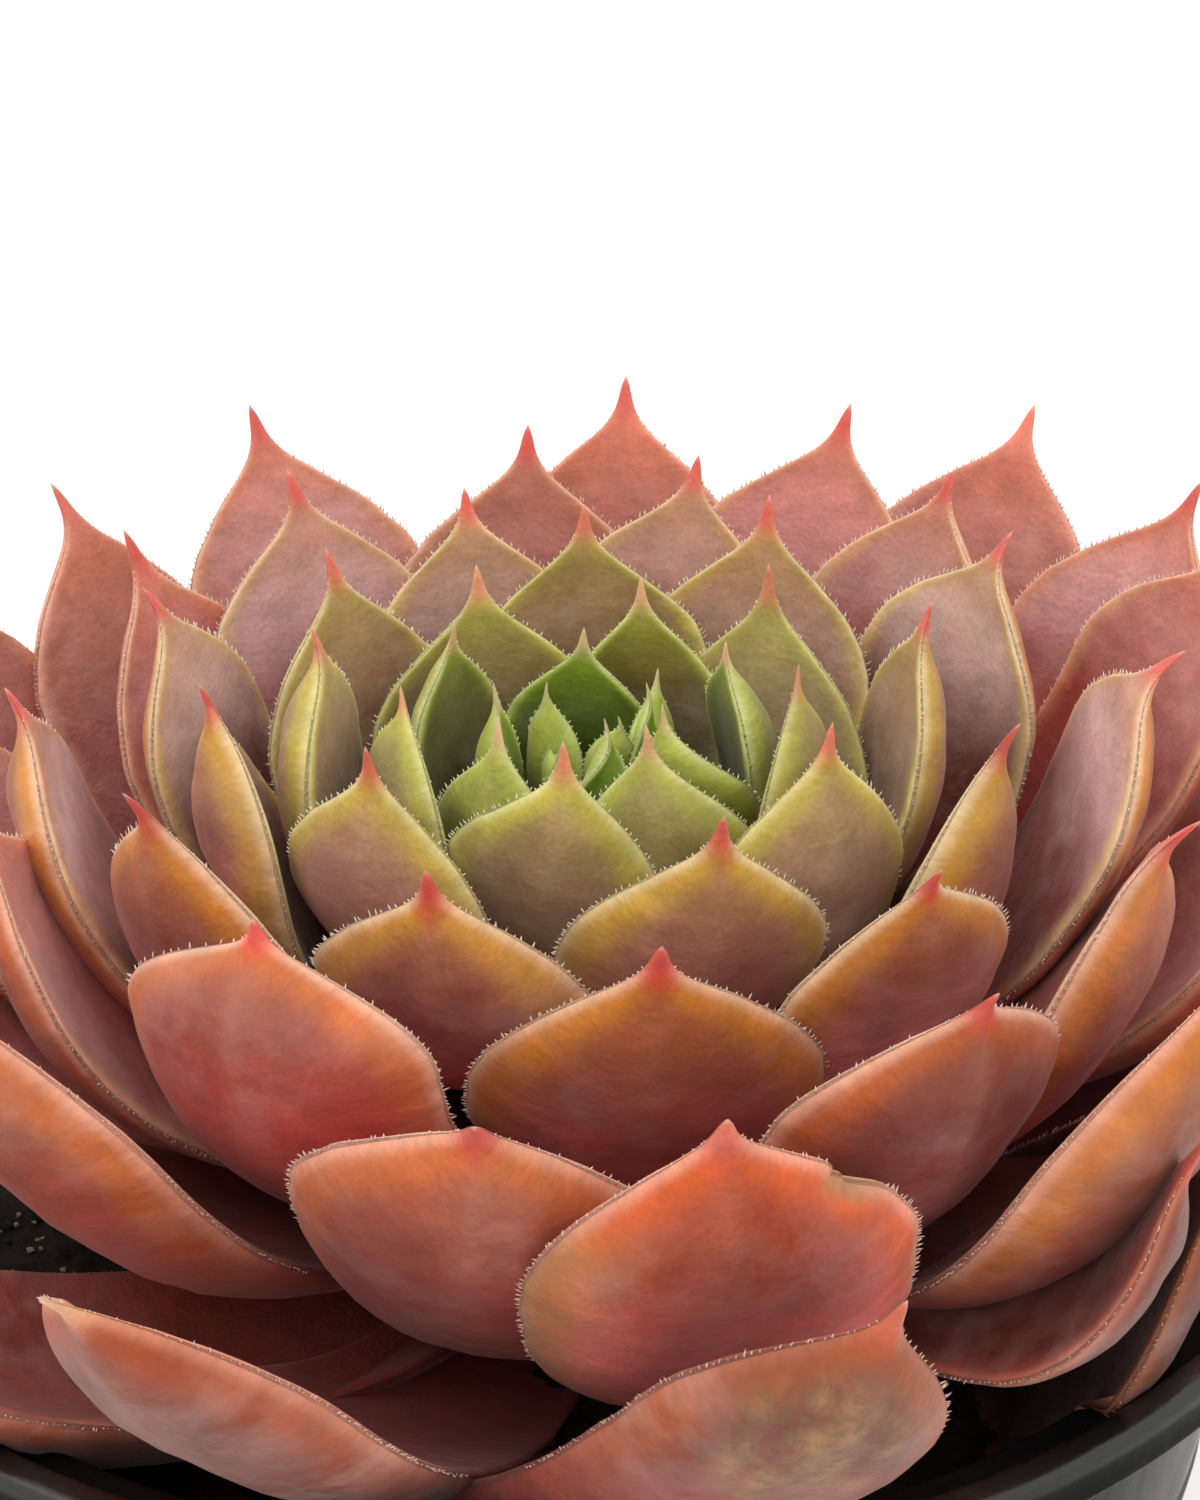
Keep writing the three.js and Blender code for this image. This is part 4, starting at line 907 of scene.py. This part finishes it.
# ------------------------------------------------------------------ soil
def soil_object():
    inner = lambda z: taper(z) - WALL - 0.3
    R = inner(SOIL_TOP)
    nr, na = 92, 200
    rr = np.linspace(0.004, 1, nr) ** 0.8 * R
    a = np.linspace(0, 2 * math.pi, na, endpoint=False)
    X, Y = rr[:, None] * np.cos(a), rr[:, None] * np.sin(a)
    p = np.stack([X, Y], -1)
    z = SOIL_TOP - 0.6 + 0.55 * wave_noise(p, 3, 16.0, 3) + 0.42 * wave_noise(p, 4, 4.2, 4) + 0.22 * wave_noise(p, 6, 1.7, 3)
    z = z + 0.7 * smooth(rr[:, None], R - 5, R) * 0.4
    z = np.clip(z, SOIL_TOP - 2.2, SOIL_TOP - 0.05)
    top = np.stack([X, Y, z], -1).reshape(-1, 3)
    rings = [top]
    levels = np.linspace(SOIL_TOP - 2.5, FLOOR + 0.3, 14)
    for zl in levels:
        rings.append(np.stack([inner(zl) * np.cos(a), inner(zl) * np.sin(a), zl + 0 * a], -1))
    for f in (0.7, 0.4, 0.004):
        k = inner(FLOOR) * f
        rings.append(np.stack([k * np.cos(a), k * np.sin(a), FLOOR + 0.3 + 0 * a], -1))
    P = np.concatenate([q.reshape(-1, 3) for q in rings])
    nR = len(P) // na
    i = np.arange(nR - 1)[:, None]
    j = np.arange(na)[None]
    A, B = i * na + j, i * na + (j + 1) % na
    Q = np.stack([A, A + na, B + na, B], -1).reshape(-1, 4)
    T = [[k, (k + 1) % na, len(P)] for k in range(na)] + [[len(P) - na + (k + 1) % na, len(P) - na + k, len(P) + 1] for k in range(na)]
    P = np.concatenate([P, [[0, 0, z[0].mean()]], [[0, 0, FLOOR + 0.3]]])
    faces = [*Q, *np.array(T)]
    return P, faces, R


def crumb(r, size, flat=1.0):
    """A cube with each side cut three by three, as points and quad faces; it is rounded and made lumpy where it is
    used.
    """
    g = np.linspace(-1, 1, 4)
    pts, faces = [], []
    idx = {}

    def vid(v):
        k = tuple(np.round(v, 4))
        if k not in idx:
            idx[k] = len(pts)
            pts.append(v)
        return idx[k]

    for ax in range(3):
        for sg in (-1, 1):
            for u in range(3):
                for w in range(3):
                    cs = []
                    for du, dw in ((0, 0), (1, 0), (1, 1), (0, 1)):
                        v = [0, 0, 0]
                        v[ax], v[(ax + 1) % 3], v[(ax + 2) % 3] = sg, g[u + du], g[w + dw]
                        cs.append(vid(np.array(v, float)))
                    faces.append(cs if sg > 0 else cs[::-1])
    return np.array(pts), np.array(faces)


CRUMB_P, CRUMB_F = crumb(RNG, 1.0)
CRUMB_P = CRUMB_P / np.linalg.norm(CRUMB_P, axis=1)[:, None]


def soil_crumbs(R, r, count):
    V, Fc, C = [], [], []
    o = 0
    for i in range(count):
        rad = R * math.sqrt(r.uniform(0.02, 1.0)) * 0.975
        if i % 3 == 0:
            rad = r.uniform(0.62, 0.975) * R
        an = r.uniform(0, 6.283)
        big = r.rand()
        size = 0.28 + 0.55 * big**3 + (0.9 if big > 0.985 else 0)
        d = CRUMB_P * (1 + 0.34 * wave_noise(CRUMB_P * 1.7 + 10 * i, i % 97, 2.6, 2))[:, None]
        sc = np.array([1, r.uniform(0.6, 1.1), r.uniform(0.45, 0.9)]) * size
        th = r.uniform(0, 6.283)
        M = np.array([[math.cos(th), -math.sin(th), 0], [math.sin(th), math.cos(th), 0], [0, 0, 1]])
        tl = r.uniform(-0.5, 0.5)
        M2 = np.array([[1, 0, 0], [0, math.cos(tl), -math.sin(tl)], [0, math.sin(tl), math.cos(tl)]])
        p = (d * sc) @ M2.T @ M.T
        zc = SOIL_TOP - 0.6 + 0.25 * size
        p = p + np.array([rad * math.cos(an), rad * math.sin(an), zc])
        p[:, 2] -= max(0.0, p[:, 2].max() - (SOIL_TOP - 0.05))
        V.append(p)
        Fc.append(CRUMB_F + o)
        kind = r.rand()
        if kind > 0.985:
            c = srgb(176, 168, 150)
        elif kind > 0.93:
            c = srgb(96, 70, 42)
        elif kind > 0.6:
            c = srgb(58, 42, 30)
        else:
            c = srgb(34, 27, 23)
        C.append(np.tile(c * r.uniform(0.7, 1.2), (len(p), 1)))
        o += len(p)
    # one olive flake at the front and a few pale grains at the left
    spots = [(32.3, -35.6, 1.05, srgb(150, 146, 96), 0.28)]
    for _ in range(16):
        spots.append((-35.8 + r.uniform(-6, 6), -15.0 + r.uniform(-4, 4), r.uniform(0.16, 0.32), srgb(190, 178, 152), 0.8))
    for x, y, size, c, flat in spots:
        d = CRUMB_P * (1 + 0.30 * wave_noise(CRUMB_P * 1.7 + 10 * x, 3, 2.6, 2))[:, None]
        V.append(d * np.array([1, 0.7, flat]) * size + np.array([x, y, SOIL_TOP - 0.15 - 0.3 * size * flat]))
        Fc.append(CRUMB_F + o)
        C.append(np.tile(c, (len(d), 1)))
        o += len(d)
    return np.concatenate(V), np.concatenate(Fc), np.concatenate(C)


def soil_mix(name, attr):
    t = Tree(name)
    b = t.bsdf
    geo = t.add("ShaderNodeNewGeometry")
    p = geo.outputs["Position"]
    n1 = t.noise(p, 520.0, 8.0, 0.7, 0.3)
    n2 = t.noise(p, 2600.0, 5.0, 0.7)
    v = t.voronoi(p, 1500.0)
    if attr:
        base = t.mix(t.range(n2, 0.3, 0.7, 0.0, 0.5), t.attr("Col").outputs["Color"], (0.012, 0.008, 0.006))
    else:
        base = t.mix(t.range(n1, 0.35, 0.65, 0.0, 1.0), tuple(srgb(20, 15, 13)), tuple(srgb(46, 34, 26)))
        base = t.mix(t.range(v, 0.0, 0.22, 0.55, 0.0), base, tuple(srgb(92, 70, 48)))
    t.link(base, b.inputs["Base Color"])
    b.inputs["Roughness"].default_value = 0.92
    b.inputs["Specular IOR Level"].default_value = 0.25
    t.link(t.bump(n2, 0.8, 0.0003, t.bump(n1, 0.7, 0.0008)), b.inputs["Normal"])
    return t.mat


sp, sf, SOIL_R = soil_object()
soil = new_object("potting_mix", sp, sf)
shade(soil, soil_mix("peat", False))
cv, cf, cc = soil_crumbs(SOIL_R, np.random.RandomState(5), 1100)
crumbs = new_object("peat_crumbs", cv, cf)
put_attr(crumbs, "Col", "FLOAT_COLOR", cc)
shade(crumbs, soil_mix("peat_crumb", True))
for o_ in (soil, crumbs):
    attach(o_, "root")
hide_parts("soil")


# ------------------------------------------------------------------ stage, light and camera
def floor_object():
    P = [[-3000, -3000, 0], [3000, -3000, 0], [3000, 5000, 0], [-3000, 5000, 0]]
    ob = new_object("floor", P, np.array([[0, 1, 2, 3]]), False)
    t = Tree("floor_paint")
    geo = t.add("ShaderNodeNewGeometry")
    n = t.noise(geo.outputs["Position"], 40.0, 4.0, 0.5)
    t.link(t.mix(t.range(n, 0.3, 0.7, 0.0, 1.0), (0.80, 0.80, 0.79), (0.83, 0.83, 0.82)), t.bsdf.inputs["Base Color"])
    t.bsdf.inputs["Roughness"].default_value = 0.75
    shade(ob, t.mat)
    return ob


floor = floor_object()

scene = bpy.context.scene
world = bpy.data.worlds.new("studio")
scene.world = world
world.use_nodes = True
bg = world.node_tree.nodes["Background"]
bg.inputs[0].default_value = (1.0, 0.99, 0.97, 1.0)
bg.inputs[1].default_value = 1.2


def area(name, loc, aim, size, power, colour=(1, 1, 1), size_y=None):
    li = bpy.data.lights.new(name, "AREA")
    li.energy = power
    li.color = colour
    li.size = size
    if size_y:
        li.shape = "RECTANGLE"
        li.size_y = size_y
    ob = bpy.data.objects.new(name, li)
    scene.collection.objects.link(ob)
    ob.location = loc
    ob.rotation_euler = (Vector(aim) - Vector(loc)).to_track_quat("-Z", "Y").to_euler()
    return ob


area("key_softbox", (-0.35, -0.15, 0.95), (0, 0, 0.1), 0.7, 1.5, (1.0, 0.985, 0.96))
area("front_fill", (0.25, -0.95, 0.55), (0, 0, 0.1), 0.8, 0.8, (1.0, 0.99, 0.97))
area("back_wall_light", (0.0, 1.6, 1.2), (0, 0.9, 0.0), 1.6, 6.0, (1, 1, 1))

PX_F = 3053.4
EL = math.radians(28.3)
DIST = 0.2179
cam = bpy.data.cameras.new("camera")
cam.sensor_fit = "AUTO"
cam.sensor_width = 36.0
cam.lens = PX_F / 1500.0 * 36.0
cam.clip_start = 0.005
cam.clip_end = 20.0
cam.shift_x = 0.0
cam.shift_y = 15.0 / 1500.0
cob = bpy.data.objects.new("camera", cam)
scene.collection.objects.link(cob)
h = Vector((HEART * 0.001).tolist())
cob.location = h + Vector((0, -math.cos(EL) * DIST, math.sin(EL) * DIST))
cob.rotation_euler = (h - cob.location).to_track_quat("-Z", "Y").to_euler()
scene.camera = cob
scene.view_settings.view_transform = "Standard"
scene.view_settings.look = "None"
scene.view_settings.exposure = 0.0
scene.view_settings.gamma = 1.0

bpy.context.view_layer.update()
